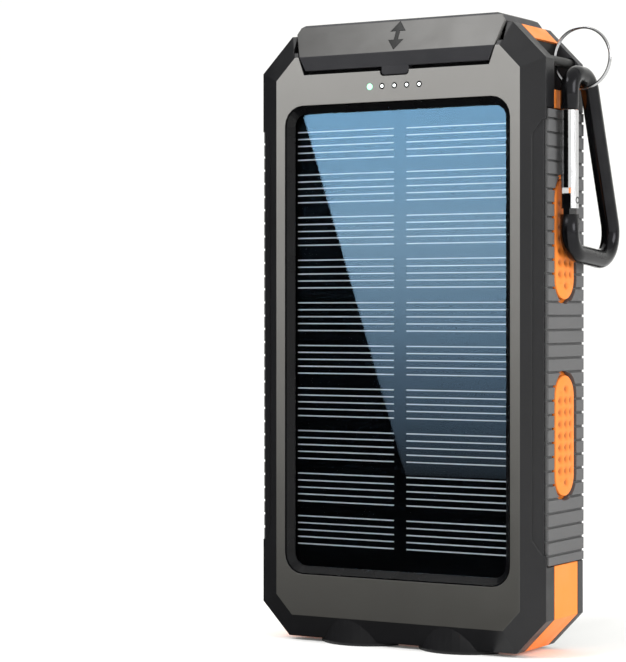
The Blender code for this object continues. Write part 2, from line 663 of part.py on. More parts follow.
def solar_window():
    """The clear layer behind the rim."""
    grow = GAP
    plate = rounded_box(both_sides(WINDOW_HALF_WIDTH - grow), (WINDOW_Z[0] + grow, WINDOW_Z[1] - grow),
                        WINDOW_CORNER - grow)
    window = prism("solar_window", "Y", plate, GLASS_FRONT_Y, GLASS_FRONT_Y + GLASS_THICKNESS)
    return finish(window, CLEAR, 0.05)


def solar_panel():
    """The panel that carries the solar cells."""
    inset = GAP
    panel = box("solar_panel", both_sides(WINDOW_HALF_WIDTH - inset),
                (PANEL_FRONT_Y, PANEL_FRONT_Y + PANEL_THICKNESS),
                (WINDOW_Z[0] + inset, WINDOW_Z[1] - inset))
    return finish(panel, BLACK, 0.2)


def light_guide():
    """One clear bar with a post for each indicator light."""
    half = LIGHT_PITCH * LIGHT_COUNT / 2
    bar_front = COVER_INNER_Y + GAP
    guide = box("light_guide", both_sides(half), (bar_front, bar_front + LIGHT_BAR_DEPTH),
                (LIGHT_Z - LIGHT_BAR_HEIGHT / 2, LIGHT_Z + LIGHT_BAR_HEIGHT / 2))
    for x in light_places():
        fuse(guide, disc("post_tool", "Y", (x, LIGHT_Z), LIGHT_RADIUS, FRONT_Y,
                         bar_front + LIGHT_BAR_DEPTH / 2, 12))
    return finish(guide, CLEAR, 0.2)


# ---------------------------------------------------------------- port flap and sockets

def port_flap():
    """The flap over the ports: a sloped front, a lip with a thumb tab and a knuckle at the rear."""
    rear = HINGE_Y - FLAP_REAR_SETBACK
    lip_back = FRONT_Y + FLAP_LIP_THICKNESS
    profile = [(FRONT_Y + GAP, LIP_BOTTOM_Z), (FRONT_Y, FLAP_FRONT_Z), (FRONT_EDGE_Y, FLAP_TOP_Z),
               (rear - MM, FLAP_TOP_Z), (rear, FLAP_TOP_Z - 1.5 * MM), (rear, FLAP_UNDER_Z),
               (lip_back, FLAP_UNDER_Z), (lip_back, LIP_BOTTOM_Z)]
    flap = prism("port_flap", "X", profile, -FLAP_HALF_WIDTH, FLAP_HALF_WIDTH)
    front_shape = prism("front_shape_tool", "Y", flap_outline(), FRONT_Y - MM, REAR_Y + MM)
    use(flap, "INTERSECT", [front_shape])
    tab = rounded_box(both_sides(TAB_HALF_WIDTH), (LIP_BOTTOM_Z - TAB_DROP, LIP_BOTTOM_Z + MM), 0.9 * MM)
    fuse(flap, prism("tab_tool", "Y", tab, FRONT_Y + GAP, lip_back))
    fuse(flap, box("web_tool", both_sides(KNUCKLE_HALF_LENGTH), (rear - MM, HINGE_Y + GAP),
                   (HINGE_Z, FLAP_UNDER_Z + MM)))
    fuse(flap, disc("knuckle_tool", "X", (HINGE_Y, HINGE_Z), KNUCKLE_RADIUS,
                    -KNUCKLE_HALF_LENGTH, KNUCKLE_HALF_LENGTH, 24))
    ear_end = KNUCKLE_HALF_LENGTH + EAR_LENGTH + 2 * GAP
    for side in (-1, 1):
        ends = sorted((side * KNUCKLE_HALF_LENGTH, side * ear_end))
        cut(flap, disc("ear_room_tool", "X", (HINGE_Y, HINGE_Z), KNUCKLE_RADIUS + GAP, *ends, segments=24))
    cut(flap, disc("flap_bore_tool", "X", (HINGE_Y, HINGE_Z), HINGE_PIN_RADIUS + GAP, -ear_end, ear_end,
                   segments=16))
    set_pivot(flap, (0.0, HINGE_Y, HINGE_Z))
    return finish(flap, CHARCOAL, 0.5)


def flap_seal():
    """The black rubber liner under the flap, which moves with it."""
    side = 2.4 * MM
    seal = box("flap_seal", both_sides(FLAP_HALF_WIDTH - side),
               (FRONT_SEAM_Y + 2 * GAP, REAR_SEAM_Y - side),
               (FLAP_UNDER_Z - GAP - SEAL_THICKNESS, FLAP_UNDER_Z - GAP))
    set_pivot(seal, (0.0, HINGE_Y, HINGE_Z))
    return finish(seal, BLACK, 0.8)


def hinge_pin():
    """The steel pin through the ears and the flap's knuckle."""
    reach = KNUCKLE_HALF_LENGTH + EAR_LENGTH
    pin = disc("hinge_pin", "X", (HINGE_Y, HINGE_Z), HINGE_PIN_RADIUS, -reach, reach, 16)
    return finish(pin, SILVER, 0.3, 1.0, smooth=True)


def socket(name, x, size, length, tongue_y):
    """A pressed metal socket shell, closed at its inner end, with its contact tongue."""
    mouth = PORT_FACE_Z - SOCKET_SETBACK
    half = (size[0] / 2, size[1] / 2)
    shell = box(name, (x - half[0], x + half[0]), (BAND_MID_Y - half[1], BAND_MID_Y + half[1]),
                (mouth - length, mouth))
    inner = (half[0] - SHELL_WALL, half[1] - SHELL_WALL)
    cut(shell, box("hollow_tool", (x - inner[0], x + inner[0]),
                   (BAND_MID_Y - inner[1], BAND_MID_Y + inner[1]),
                   (mouth - length + 2 * SHELL_WALL, mouth + MM)))
    tongue_half = half[0] - 1.2 * MM
    tongue_mid = BAND_MID_Y + tongue_y
    thickness = size[1] / 5
    fuse(shell, box("tongue_tool", (x - tongue_half, x + tongue_half),
                    (tongue_mid - thickness / 2, tongue_mid + thickness / 2),
                    (mouth - length + SHELL_WALL, mouth - MM)))
    return finish(shell, SILVER, 0.3, 1.0)


BOARD_Y = BAND_MID_Y + USB_A_SIZE[1] / 2 + GAP
BOARD_HALF_WIDTH = HALF_WIDTH - COVER_SIDE - GAP
BOARD_Z = (PORT_FACE_Z - BAND_WALL - GAP - MAIN_BOARD_HEIGHT, PORT_FACE_Z - BAND_WALL - GAP - 3 * MM)


def main_board():
    """The circuit board behind the sockets."""
    board = box("main_board", both_sides(BOARD_HALF_WIDTH), (BOARD_Y, BOARD_Y + BOARD_THICKNESS), BOARD_Z)
    for x in both_sides(BOARD_HALF_WIDTH - SCREW_INSET):
        cut(board, disc("screw_hole_tool", "Y", (x, BOARD_Z[0] + SCREW_INSET), MM,
                        BOARD_Y - MM, BOARD_Y + 2 * BOARD_THICKNESS, 16))
    return finish(board, BOARD_GREEN, 0.5)


def board_screws():
    """Two screws through the board, each a head and a shank in one."""
    for side, name in ((-1, "board_screw_left"), (1, "board_screw_right")):
        centre = (side * (BOARD_HALF_WIDTH - SCREW_INSET), BOARD_Z[0] + SCREW_INSET)
        head_face = BOARD_Y - GAP
        screw = disc(name, "Y", centre, SCREW_HEAD_RADIUS, head_face - SCREW_HEAD_HEIGHT, head_face, 20)
        fuse(screw, disc("shank_tool", "Y", centre, MM - GAP, head_face - SCREW_HEAD_HEIGHT / 2,
                         BOARD_Y + 2 * BOARD_THICKNESS, 12))
        finish(screw, SILVER, 0.3, 1.0)


def battery_and_foam():
    """The pouch cell and the foam pad between it and the rear cover."""
    half = HALF_WIDTH - COVER_SIDE - CELL_MARGIN
    front = PANEL_FRONT_Y + PANEL_THICKNESS + MM
    z = (CAVITY_LOW + 2 * BOARD_THICKNESS, CAVITY_LOW + 2 * BOARD_THICKNESS + CELL_HEIGHT)
    cell = box("battery_cell", both_sides(half), (front, front + CELL_THICKNESS), z)
    soften(cell, MM)
    finish(cell, CELL_BLUE, 0.4)
    foam_front = front + CELL_THICKNESS + GAP
    foam = box("foam_pad", both_sides(half - 3 * MM), (foam_front, foam_front + FOAM_THICKNESS),
               (z[0] + 3 * MM, z[1] - 3 * MM))
    finish(foam, BLACK, 0.9)


def solar_leads():
    """The pair of wires from the solar panel to the board."""
    start_y = PANEL_FRONT_Y + PANEL_THICKNESS + GAP + LEAD_RADIUS
    z_low = WINDOW_Z[1] - 12 * MM
    z_high = WINDOW_Z[1] - 6 * MM
    for x, name, colour in ((-2 * MM, "solar_lead_minus", BLACK), (2 * MM, "solar_lead_plus", RED)):
        end_y = BOARD_Y - GAP
        points = []
        for i in range(13):
            t = i / 12
            blend = t * t * (3 - 2 * t)
            points.append(Vector((x, start_y + (end_y - start_y) * blend, z_high + (z_low - z_high) * t)))
        finish(tube(name, points, LEAD_RADIUS, sides=8), colour, 0.5, smooth=True)


# ---------------------------------------------------------------- grips, pads and button

def side_grip(name, side):
    """A ribbed rubber grip let into one side, with windows for its two pads."""
    inner = side * GRIP_INNER_X
    outer = side * GRIP_OUTER_X
    groove = side * (GRIP_OUTER_X - RIB_DEPTH)
    ribs = int((GRIP_Z[1] - GRIP_Z[0]) / RIB_PITCH)
    spare = (GRIP_Z[1] - GRIP_Z[0] - ribs * RIB_PITCH) / 2
    outline = [(inner, GRIP_Z[0]), (outer, GRIP_Z[0])]
    for i in range(ribs):
        low = GRIP_Z[0] + spare + (i + 0.5) * RIB_PITCH - RIB_GROOVE / 2
        outline += [(outer, low), (groove, low), (groove, low + RIB_GROOVE), (outer, low + RIB_GROOVE)]
    outline += [(outer, GRIP_Z[1]), (inner, GRIP_Z[1])]
    grip = prism(name, "Y", outline, *GRIP_Y)
    for centre in PAD_CENTRES:
        window = pad_outline(centre, 1.1 * MM)
        cut(grip, prism("pad_room_tool", "X", window, *sorted((side * (GRIP_INNER_X - MM),
                                                               side * (GRIP_OUTER_X + MM)))))
    return finish(grip, RUBBER, 0.75)


def pad_outline(centre, grow=0.0):
    """A pad's stadium outline in y and z."""
    half_y = PAD_SIZE[0] / 2 + grow
    half_z = PAD_SIZE[1] / 2 + grow
    middle = GRIP_Z[0] + centre
    return rounded_box((PAD_Y - half_y, PAD_Y + half_y), (middle - half_z, middle + half_z),
                       half_y - 0.05 * MM, steps=8)


def grip_pads(side, word):
    """The two orange pads in a grip."""
    for centre, level in zip(PAD_CENTRES, ("lower", "upper")):
        ends = sorted((side * GRIP_INNER_X, side * (GRIP_INNER_X + PAD_THICKNESS)))
        pad = prism(f"grip_pad_{word}_{level}", "X", pad_outline(centre), *ends)
        finish(pad, ORANGE, 0.6)


def power_button():
    """The power button, with the flange that keeps it in its hole."""
    outer = -HALF_WIDTH - BUTTON_PROUD
    half = (BUTTON_SIZE[0] / 2, BUTTON_SIZE[1] / 2)
    face = rounded_box((BAND_MID_Y - half[0], BAND_MID_Y + half[0]), (BUTTON_Z - half[1], BUTTON_Z + half[1]),
                       1.9 * MM)
    button = prism("power_button", "X", face, outer, outer + BUTTON_LENGTH + 0.6 * MM)
    flange_x = -HALF_WIDTH + BAND_WALL + GAP
    flange = rounded_box((BAND_MID_Y - half[0] - MM, BAND_MID_Y + half[0] + MM),
                         (BUTTON_Z - half[1] - MM, BUTTON_Z + half[1] + MM), 2 * MM)
    fuse(button, prism("flange_tool", "X", flange, flange_x, flange_x + BUTTON_FLANGE))
    return finish(button, CHARCOAL, 0.5)


def tact_switch():
    """The small switch behind the power button."""
    front = -HALF_WIDTH + BAND_WALL + 2 * GAP + BUTTON_FLANGE + BUTTON_TRAVEL
    half = SWITCH_SIZE / 2
    switch = box("tact_switch", (front, front + SWITCH_SIZE), (BAND_MID_Y - half, BAND_MID_Y + half),
                 (BUTTON_Z - half, BUTTON_Z + half))
    return finish(switch, BLACK, 0.5)


# ---------------------------------------------------------------- torch lamps

def lamp(side, word):
    """One lamp's lens, reflector and light-emitting chip."""
    centre = (side * LAMP_OFFSET, 0.0)
    lens_low = LENS_SETBACK
    lens_high = lens_low + LENS_THICKNESS
    lens = disc(f"lamp_lens_{word}", "Z", centre, LENS_RADIUS, lens_low, lens_high)
    finish(lens, CLEAR, 0.05, smooth=True)
    low = lens_high + GAP
    high = low + REFLECTOR_HEIGHT
    profile = [(LENS_RADIUS, low), (REFLECTOR_THROAT + REFLECTOR_WALL, high), (REFLECTOR_THROAT, high),
               (LENS_RADIUS - REFLECTOR_WALL, low)]
    reflector = turned(f"lamp_reflector_{word}", "Z", centre, profile)
    finish(reflector, SILVER, 0.1, 1.0, smooth=True)
    half = LED_SIZE / 2
    chip_high = CAVITY_LOW
    chip = box(f"lamp_chip_{word}", (centre[0] - half, centre[0] + half), both_sides(half),
               (chip_high - LED_HEIGHT, chip_high))
    finish(chip, (0.9, 0.85, 0.4), 0.4)


def lamp_board():
    """The narrow board over both lamp bores."""
    reach = LAMP_OFFSET + LAMP_BORE_RADIUS
    board = box("lamp_board", both_sides(reach), (FRONT_SEAM_Y + MM, REAR_SEAM_Y - MM),
                (CAVITY_LOW + GAP, CAVITY_LOW + GAP + BOARD_THICKNESS))
    return finish(board, BOARD_GREEN, 0.5)


# ---------------------------------------------------------------- compass

def compass():
    """The compass in the rear face: cup, pivot, card and clear dome."""
    centre = (0.0, COMPASS_Z)
    rim_y = REAR_Y + COMPASS_PROUD
    floor_y = rim_y - COMPASS_DEPTH + COMPASS_WALL
    cup = disc("compass_cup", "Y", centre, COMPASS_RADIUS, rim_y - COMPASS_DEPTH, rim_y)
    cut(cup, disc("cup_room_tool", "Y", centre, COMPASS_RADIUS - COMPASS_WALL, floor_y, rim_y + MM))
    finish(cup, BLACK, 0.4, smooth=True)
    card_y = rim_y - CARD_DEPTH
    pivot_top = card_y - CARD_THICKNESS - GAP
    pivot = disc("compass_pivot", "Y", centre, PIVOT_RADIUS, floor_y + GAP, pivot_top, 12)
    finish(pivot, SILVER, 0.3, 1.0, smooth=True)
    card = disc("compass_card", "Y", centre, CARD_RADIUS, card_y - CARD_THICKNESS, card_y)
    set_pivot(card, (0.0, card_y, COMPASS_Z))
    finish(card, SILVER, 0.4, 0.3)
    dome_clear(centre, rim_y)


def dome_clear(centre, rim_y):
    """The compass's clear dome: a flat ring that rises to a low crown."""
    radius = COMPASS_RADIUS - COMPASS_WALL - GAP
    sections = []
    steps = 5
    base_y = rim_y - DOME_THICKNESS - GAP
    for i in range(steps):
        angle = math.pi / 2 * i / steps
        sections.append((base_y + DOME_THICKNESS + DOME_RISE * math.sin(angle),
                         circle(radius * math.cos(angle), centre)))
    dome = loft("compass_dome", "Y", [(base_y, circle(radius, centre))] + sections)
    finish(dome, CLEAR, 0.03, smooth=True)


# ---------------------------------------------------------------- ring and carabiner

def cross_pin():
    """The pin across the corner notch that holds the split ring."""
    ends = (FRONT_SEAM_Y - PIN_SEAT, REAR_SEAM_Y + PIN_SEAT)
    pin = disc("ring_pin", "Y", (PIN_X, PIN_Z), PIN_RADIUS, *ends, segments=20)
    return finish(pin, SILVER, 0.3, 1.0, smooth=True)


def split_ring():
    """The steel ring round the cross pin, lying out sideways."""
    steps = 40
    path = [Vector((RING_X + RING_RADIUS * math.cos(2 * math.pi * i / steps), RING_Y,
                    RING_Z + RING_RADIUS * math.sin(2 * math.pi * i / steps))) for i in range(steps)]
    ring = tube("split_ring", path, RING_WIRE, closed=True, sides=8)
    set_pivot(ring, (PIN_X, RING_Y, PIN_Z))
    return finish(ring, SILVER, 0.25, 1.0, smooth=True)


ARCH_Z = RING_Z - RING_RADIUS + RING_WIRE + GAP + ROD_RADIUS
HANG_Z = ARCH_Z - ROD_RADIUS
GATE_Y = RING_Y - 6.8 * MM
NOSE_TOP_Z = ARCH_Z - 8.4 * MM
NOSE_LOW_Z = NOSE_TOP_Z - GATE_LENGTH
RIVET_Z = NOSE_LOW_Z + 3.3 * MM


def rounded_path(corners, steps=7):
    """A path in y and z through (y, z, radius) corners, whose inner corners are turned into arcs."""
    points = [Vector((RING_X, corners[0][0], corners[0][1]))]
    for before, here, after in zip(corners, corners[1:], corners[2:]):
        corner = Vector(here[:2])
        into = (Vector(before[:2]) - corner).normalized()
        out = (Vector(after[:2]) - corner).normalized()
        half_angle = into.angle(out) / 2
        setback = here[2] / math.tan(half_angle)
        centre = corner + (into + out).normalized() * (here[2] / math.sin(half_angle))
        start = corner + into * setback - centre
        end = corner + out * setback - centre
        turn = start.angle(end)
        for i in range(steps + 1):
            t = i / steps
            arm = (start * math.sin((1 - t) * turn) + end * math.sin(t * turn)) / math.sin(turn)
            points.append(Vector((RING_X, *(centre + arm))))
    points.append(Vector((RING_X, corners[-1][0], corners[-1][1])))
    return points


def carabiner():
    """The carabiner's bent rod, with the tongue that the gate turns on."""
    low = ARCH_Z + 2 * ROD_RADIUS - CARABINER_LENGTH
    right = GATE_Y + CARABINER_WIDTH - 2 * ROD_RADIUS
    foot, heel, shoulder, nose = CARABINER_BENDS
    corners = [(GATE_Y, NOSE_LOW_Z, 0), (GATE_Y, low + CARABINER_TILT, foot), (right, low, heel),
               (GATE_Y + CARABINER_CREST, ARCH_Z, shoulder), (GATE_Y, ARCH_Z, nose), (GATE_Y, NOSE_TOP_Z, 0)]
    body = tube("carabiner_body", rounded_path(corners), ROD_RADIUS, sides=14)
    half = TONGUE_THICKNESS / 2
    fuse(body, box("tongue_tool", (RING_X - half, RING_X + half),
                   (GATE_Y - TONGUE_HALF_WIDTH, GATE_Y + TONGUE_HALF_WIDTH),
                   (NOSE_LOW_Z - MM, RIVET_Z + TONGUE_RISE)))
    cut(body, disc("rivet_bore_tool", "X", (GATE_Y, RIVET_Z), RIVET_RADIUS + GAP,
                   RING_X - 3 * MM, RING_X + 3 * MM, 16))
    set_pivot(body, (RING_X, RING_Y, HANG_Z))
    return finish(body, BLACK, 0.2, smooth=True)


def carabiner_gate():
    """The sprung gate, forked over the tongue at its lower end."""
    gate = disc("carabiner_gate", "Z", (RING_X, GATE_Y), GATE_RADIUS, RIVET_Z - GATE_HEEL, NOSE_TOP_Z - GAP,
                segments=20)
    half = TONGUE_THICKNESS / 2 + GAP
    cut(gate, box("fork_tool", (RING_X - half, RING_X + half), (GATE_Y - 3 * MM, GATE_Y + 3 * MM),
                  (RIVET_Z - 2 * GATE_HEEL, RIVET_Z + FORK_DEPTH)))
    cut(gate, disc("rivet_bore_tool", "X", (GATE_Y, RIVET_Z), RIVET_RADIUS + GAP,
                   RING_X - 3 * MM, RING_X + 3 * MM, 16))
    set_pivot(gate, (RING_X, GATE_Y, RIVET_Z))
    return finish(gate, SILVER, 0.3, 1.0, smooth=True)


def gate_rivet():
    """The rivet through the gate's fork and the tongue."""
    reach = GATE_RADIUS - RIVET_SET_BACK
    rivet = disc("gate_rivet", "X", (GATE_Y, RIVET_Z), RIVET_RADIUS, RING_X - reach, RING_X + reach, 12)
    return finish(rivet, SILVER, 0.3, 1.0, smooth=True)


# ---------------------------------------------------------------- assembly

def centre_footprint():
    """Parent everything to one empty and move it so that the footprint is centred on the origin."""
    root = bpy.data.objects.new("charger_root", None)
    bpy.context.collection.objects.link(root)
    for piece in list(bpy.context.scene.objects):
        if piece is not root:
            piece.parent = root
    bpy.context.view_layer.update()
    shown = [piece for piece in bpy.context.scene.objects if piece.type == "MESH" and not piece.hide_render]
    corners = [piece.matrix_world @ vertex.co for piece in shown for vertex in piece.data.vertices]
    for axis in (0, 1):
        values = [corner[axis] for corner in corners]
        root.location[axis] = -(min(values) + max(values)) / 2
    bpy.context.view_layer.update()


def main():
    """Build every piece of the charger."""
    for piece in list(bpy.data.objects):
        bpy.data.objects.remove(piece, do_unlink=True)
    front_cover()
    rear_cover()
    mid_frame()
    window_rim()
    solar_window()
    solar_panel()
    light_guide()
    port_flap()
    flap_seal()
    hinge_pin()
    socket("usb_a_left", -USB_A_OFFSET, USB_A_SIZE, USB_A_LENGTH, -0.8 * MM)
    socket("usb_c_middle", 0.0, USB_C_SIZE, USB_C_LENGTH, 0.0)
    socket("usb_a_right", USB_A_OFFSET, USB_A_SIZE, USB_A_LENGTH, -0.8 * MM)
    main_board()
    board_screws()
    battery_and_foam()
    solar_leads()
    for side, word in ((-1, "left"), (1, "right")):
        side_grip(f"side_grip_{word}", side)
        grip_pads(side, word)
        lamp(side, word)
    power_button()
    tact_switch()
    lamp_board()
    compass()
    cross_pin()
    split_ring()
    carabiner()
    carabiner_gate()
    gate_rivet()
    centre_footprint()


if __name__ == "__main__":
    main()
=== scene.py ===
"""The solar phone charger's finish: materials, solar face, pads, lamps, compass, ring and carabiner."""
import math

import bpy
import numpy as np
from mathutils import Matrix, Vector


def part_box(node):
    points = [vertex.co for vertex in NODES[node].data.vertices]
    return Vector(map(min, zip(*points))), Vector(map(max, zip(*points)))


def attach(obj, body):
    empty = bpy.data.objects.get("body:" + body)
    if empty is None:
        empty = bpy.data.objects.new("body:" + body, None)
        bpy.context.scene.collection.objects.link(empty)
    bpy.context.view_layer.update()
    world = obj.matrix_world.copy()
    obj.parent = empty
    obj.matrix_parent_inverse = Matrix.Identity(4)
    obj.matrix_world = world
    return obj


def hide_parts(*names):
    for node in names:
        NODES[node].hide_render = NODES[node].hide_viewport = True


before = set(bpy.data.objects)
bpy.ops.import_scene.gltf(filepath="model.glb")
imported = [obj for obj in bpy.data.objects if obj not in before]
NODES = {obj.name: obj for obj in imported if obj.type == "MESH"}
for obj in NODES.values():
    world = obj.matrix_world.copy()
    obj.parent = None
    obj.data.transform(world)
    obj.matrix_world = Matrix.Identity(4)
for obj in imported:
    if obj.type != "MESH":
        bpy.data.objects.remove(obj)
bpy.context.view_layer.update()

bl_info = {
    "name": "Solar Charger Finish",
    "version": (1, 0, 0),
    "blender": (4, 5, 0),
    "location": "3D View > Sidebar > Charger",
    "description": "Builds the visible surfaces and finishes of a rugged solar phone charger",
    "category": "Object",
}

MM = 0.001


def node_box(name):
    """The lowest and highest corners of a CAD node as arrays."""
    low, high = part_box(name)
    return np.array(low), np.array(high)


COVER_LOW, COVER_HIGH = node_box("front_cover")
MID_X = (COVER_LOW[0] + COVER_HIGH[0]) / 2
FACE_Y = COVER_LOW[1]
REAR_Y = node_box("rear_cover")[1][1]

# Black painted as shade, inside the ring's notch and down the gate's slot.
PAINTED_SHADE_BLACK = (0.01, 0.01, 0.01)
# Bounds of the painted shade inside the ring's notch.
NOTCH_BELOW_PIN, NOTCH_ABOVE_PIN = 7.6 * MM, 4.9 * MM
NOTCH_INNER, NOTCH_OUTER = 31 * MM, 33.4 * MM
SLOPE_FOOT, SLOPE_CREST = 7.9 * MM, 0.5 * MM
SLOPE_SET_BACK = 2.6 * MM
LIGHT_COUNT = 5
FIRST_LIGHT_RADIUS, LIGHT_RADIUS = 0.75 * MM, 0.40 * MM
ARROW_LENGTH, ARROW_WIDTH, ARROW_SHAFT = 7.4 * MM, 4.2 * MM, 1.1 * MM
ARROW_SLANT = 0.10
# Width and depth of the painted shade down the gate's slot.
GATE_SLOT_HALF, GATE_SLOT_DEPTH = 0.55 * MM, 1.0 * MM
CARABINER_LENGTH, CARABINER_WIDTH = 48.4 * MM, 30.4 * MM
CARABINER_TILT, CARABINER_CREST = 2.5 * MM, 10.0 * MM
CARABINER_BENDS = (5.0 * MM, 6.5 * MM, 5.0 * MM, 4.4 * MM)


# ---------------------------------------------------------------- settings

class ChargerSizes(bpy.types.PropertyGroup):
    """Sizes of the surfaces that are added to the frame."""

    finger_groups: bpy.props.IntProperty(
        name="Finger groups", description="Groups of collector fingers down the solar face",
        default=10, min=1)
    fingers_in_group: bpy.props.IntProperty(
        name="Fingers in a group", description="Collector fingers in each group", default=5, min=1)
    finger_pitch: bpy.props.FloatProperty(
        name="Finger pitch", description="From one finger to the next", default=1.70 * MM, unit="LENGTH")
    group_pitch: bpy.props.FloatProperty(
        name="Group pitch", description="From one group to the next", default=10.48 * MM, unit="LENGTH")
    finger_width: bpy.props.FloatProperty(
        name="Finger width", description="Height of one finger line", default=0.29 * MM, unit="LENGTH")
    first_finger: bpy.props.FloatProperty(
        name="First finger", description="From the cell's top edge down to the first finger",
        default=5.0 * MM, unit="LENGTH")
    column_gap: bpy.props.FloatProperty(
        name="Column gap", description="Bare strip between the two columns", default=3.5 * MM, unit="LENGTH")
    pad_crown: bpy.props.FloatProperty(
        name="Pad crown", description="How far a pad's middle swells", default=0.45 * MM, unit="LENGTH")
    dimple_pitch: bpy.props.FloatProperty(
        name="Dimple pitch", description="From one row of dimples to the next",
        default=2.75 * MM, unit="LENGTH")
    dimple_depth: bpy.props.FloatProperty(
        name="Dimple depth", description="Depth of the dimples in a pad", default=0.6 * MM, unit="LENGTH")
    dot_pitch: bpy.props.FloatProperty(
        name="Dot pitch", description="Pitch of the dotted grip on the rear panels", default=1.85 * MM,
        unit="LENGTH")


class ChargerColours(bpy.types.PropertyGroup):
    """Colours of the finishes, in linear light."""

    face_grey: bpy.props.FloatVectorProperty(
        name="Face grey", description="Front face of the front cover", subtype="COLOR", size=3,
        default=(0.235, 0.230, 0.222))
    edge_grey: bpy.props.FloatVectorProperty(
        name="Edge grey", description="Bevels and sides of both covers", subtype="COLOR", size=3,
        default=(0.0085, 0.0085, 0.0095))
    orange: bpy.props.FloatVectorProperty(
        name="Orange", description="Mid frame and pads", subtype="COLOR", size=3, default=(0.93, 0.25, 0.035))
    rubber_grey: bpy.props.FloatVectorProperty(
        name="Rubber grey", description="Side grips", subtype="COLOR", size=3, default=(0.105, 0.105, 0.107))


# ---------------------------------------------------------------- meshes from arrays

def grid_object(name, points, close_u=False, close_v=False):
    """A surface from an array of points indexed by two parameters; a closed direction wraps round."""
    rows, cols = points.shape[:2]
    u = np.arange(rows if close_u else rows - 1)
    v = np.arange(cols if close_v else cols - 1)
    i, j = np.meshgrid(u, v, indexing="ij")
    i2, j2 = (i + 1) % rows, (j + 1) % cols
    faces = np.stack([i * cols + j, i2 * cols + j, i2 * cols + j2, i * cols + j2], axis=-1).reshape(-1, 4)
    return mesh_object(name, points.reshape(-1, 3), faces)


def mesh_object(name, vertices, faces, smooth=True):
    """A linked object from vertex and quad arrays."""
    mesh = bpy.data.meshes.new(name)
    mesh.from_pydata(vertices.tolist(), [], faces.tolist())
    mesh.validate()
    mesh.update()
    piece = bpy.data.objects.new(name, mesh)
    bpy.context.scene.collection.objects.link(piece)
    mesh.polygons.foreach_set("use_smooth", np.full(len(mesh.polygons), smooth))
    return piece


def block_grid(name, lows, highs):
    """Many separate boxes in one mesh, from arrays of their lowest and highest corners."""
    corner = np.array([(0, 0, 0), (1, 0, 0), (1, 1, 0), (0, 1, 0),
                       (0, 0, 1), (1, 0, 1), (1, 1, 1), (0, 1, 1)])
    side = np.array([(0, 3, 2, 1), (4, 5, 6, 7), (0, 1, 5, 4), (1, 2, 6, 5), (2, 3, 7, 6), (3, 0, 4, 7)])
    vertices = lows[:, None, :] + corner[None] * (highs - lows)[:, None, :]
    faces = side[None] + 8 * np.arange(len(lows))[:, None, None]
    return mesh_object(name, vertices.reshape(-1, 3), faces.reshape(-1, 4), smooth=False)


def rod_surface(path, radius, sides=20):
    """Points of a round rod: each path point plus radius times a unit circle in the plane across the path."""
    tangent = np.gradient(path, axis=0)
    tangent /= np.linalg.norm(tangent, axis=1, keepdims=True)
    across = np.cross(tangent, (1.0, 0.0, 0.0))
    across /= np.linalg.norm(across, axis=1, keepdims=True)
    other = np.cross(tangent, across)
    angle = np.linspace(0, 2 * np.pi, sides, endpoint=False)
    radius = np.broadcast_to(radius, len(path))
    circle = np.cos(angle)[None, :, None] * across[:, None] + np.sin(angle)[None, :, None] * other[:, None]
    return path[:, None] + radius[:, None, None] * circle


def turned_surface(profile, centre, axis, steps=48):
    """Points of a turned shape: each (radius, distance) of the profile swept round the axis."""
    angle = np.linspace(0, 2 * np.pi, steps, endpoint=False)
    ring = np.stack([np.cos(angle), np.sin(angle)], axis=-1)
    points = np.zeros((len(profile), steps, 3))
    first, second = [k for k in range(3) if k != axis]
    points[..., first] = centre[first] + profile[:, None, 0] * ring[None, :, 0]
    points[..., second] = centre[second] + profile[:, None, 0] * ring[None, :, 1]
    points[..., axis] = profile[:, None, 1]
    return points


def turn_outward(piece):
    """Make every face of a closed piece point outward."""
    import bmesh
    work = bmesh.new()
    work.from_mesh(piece.data)
    bmesh.ops.remove_doubles(work, verts=work.verts, dist=1e-6)
    bmesh.ops.recalc_face_normals(work, faces=work.faces)
    work.to_mesh(piece.data)
    work.free()


def settle(piece, body, slot, material, *replaced):
    """Put a piece on its body with its material, in place of the CAD nodes it stands for; its slot is not
    used.
    """
    piece.data.materials.clear()
    piece.data.materials.append(material)
    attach(piece, body)
    if replaced:
        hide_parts(*replaced)
    return piece


# ---------------------------------------------------------------- materials

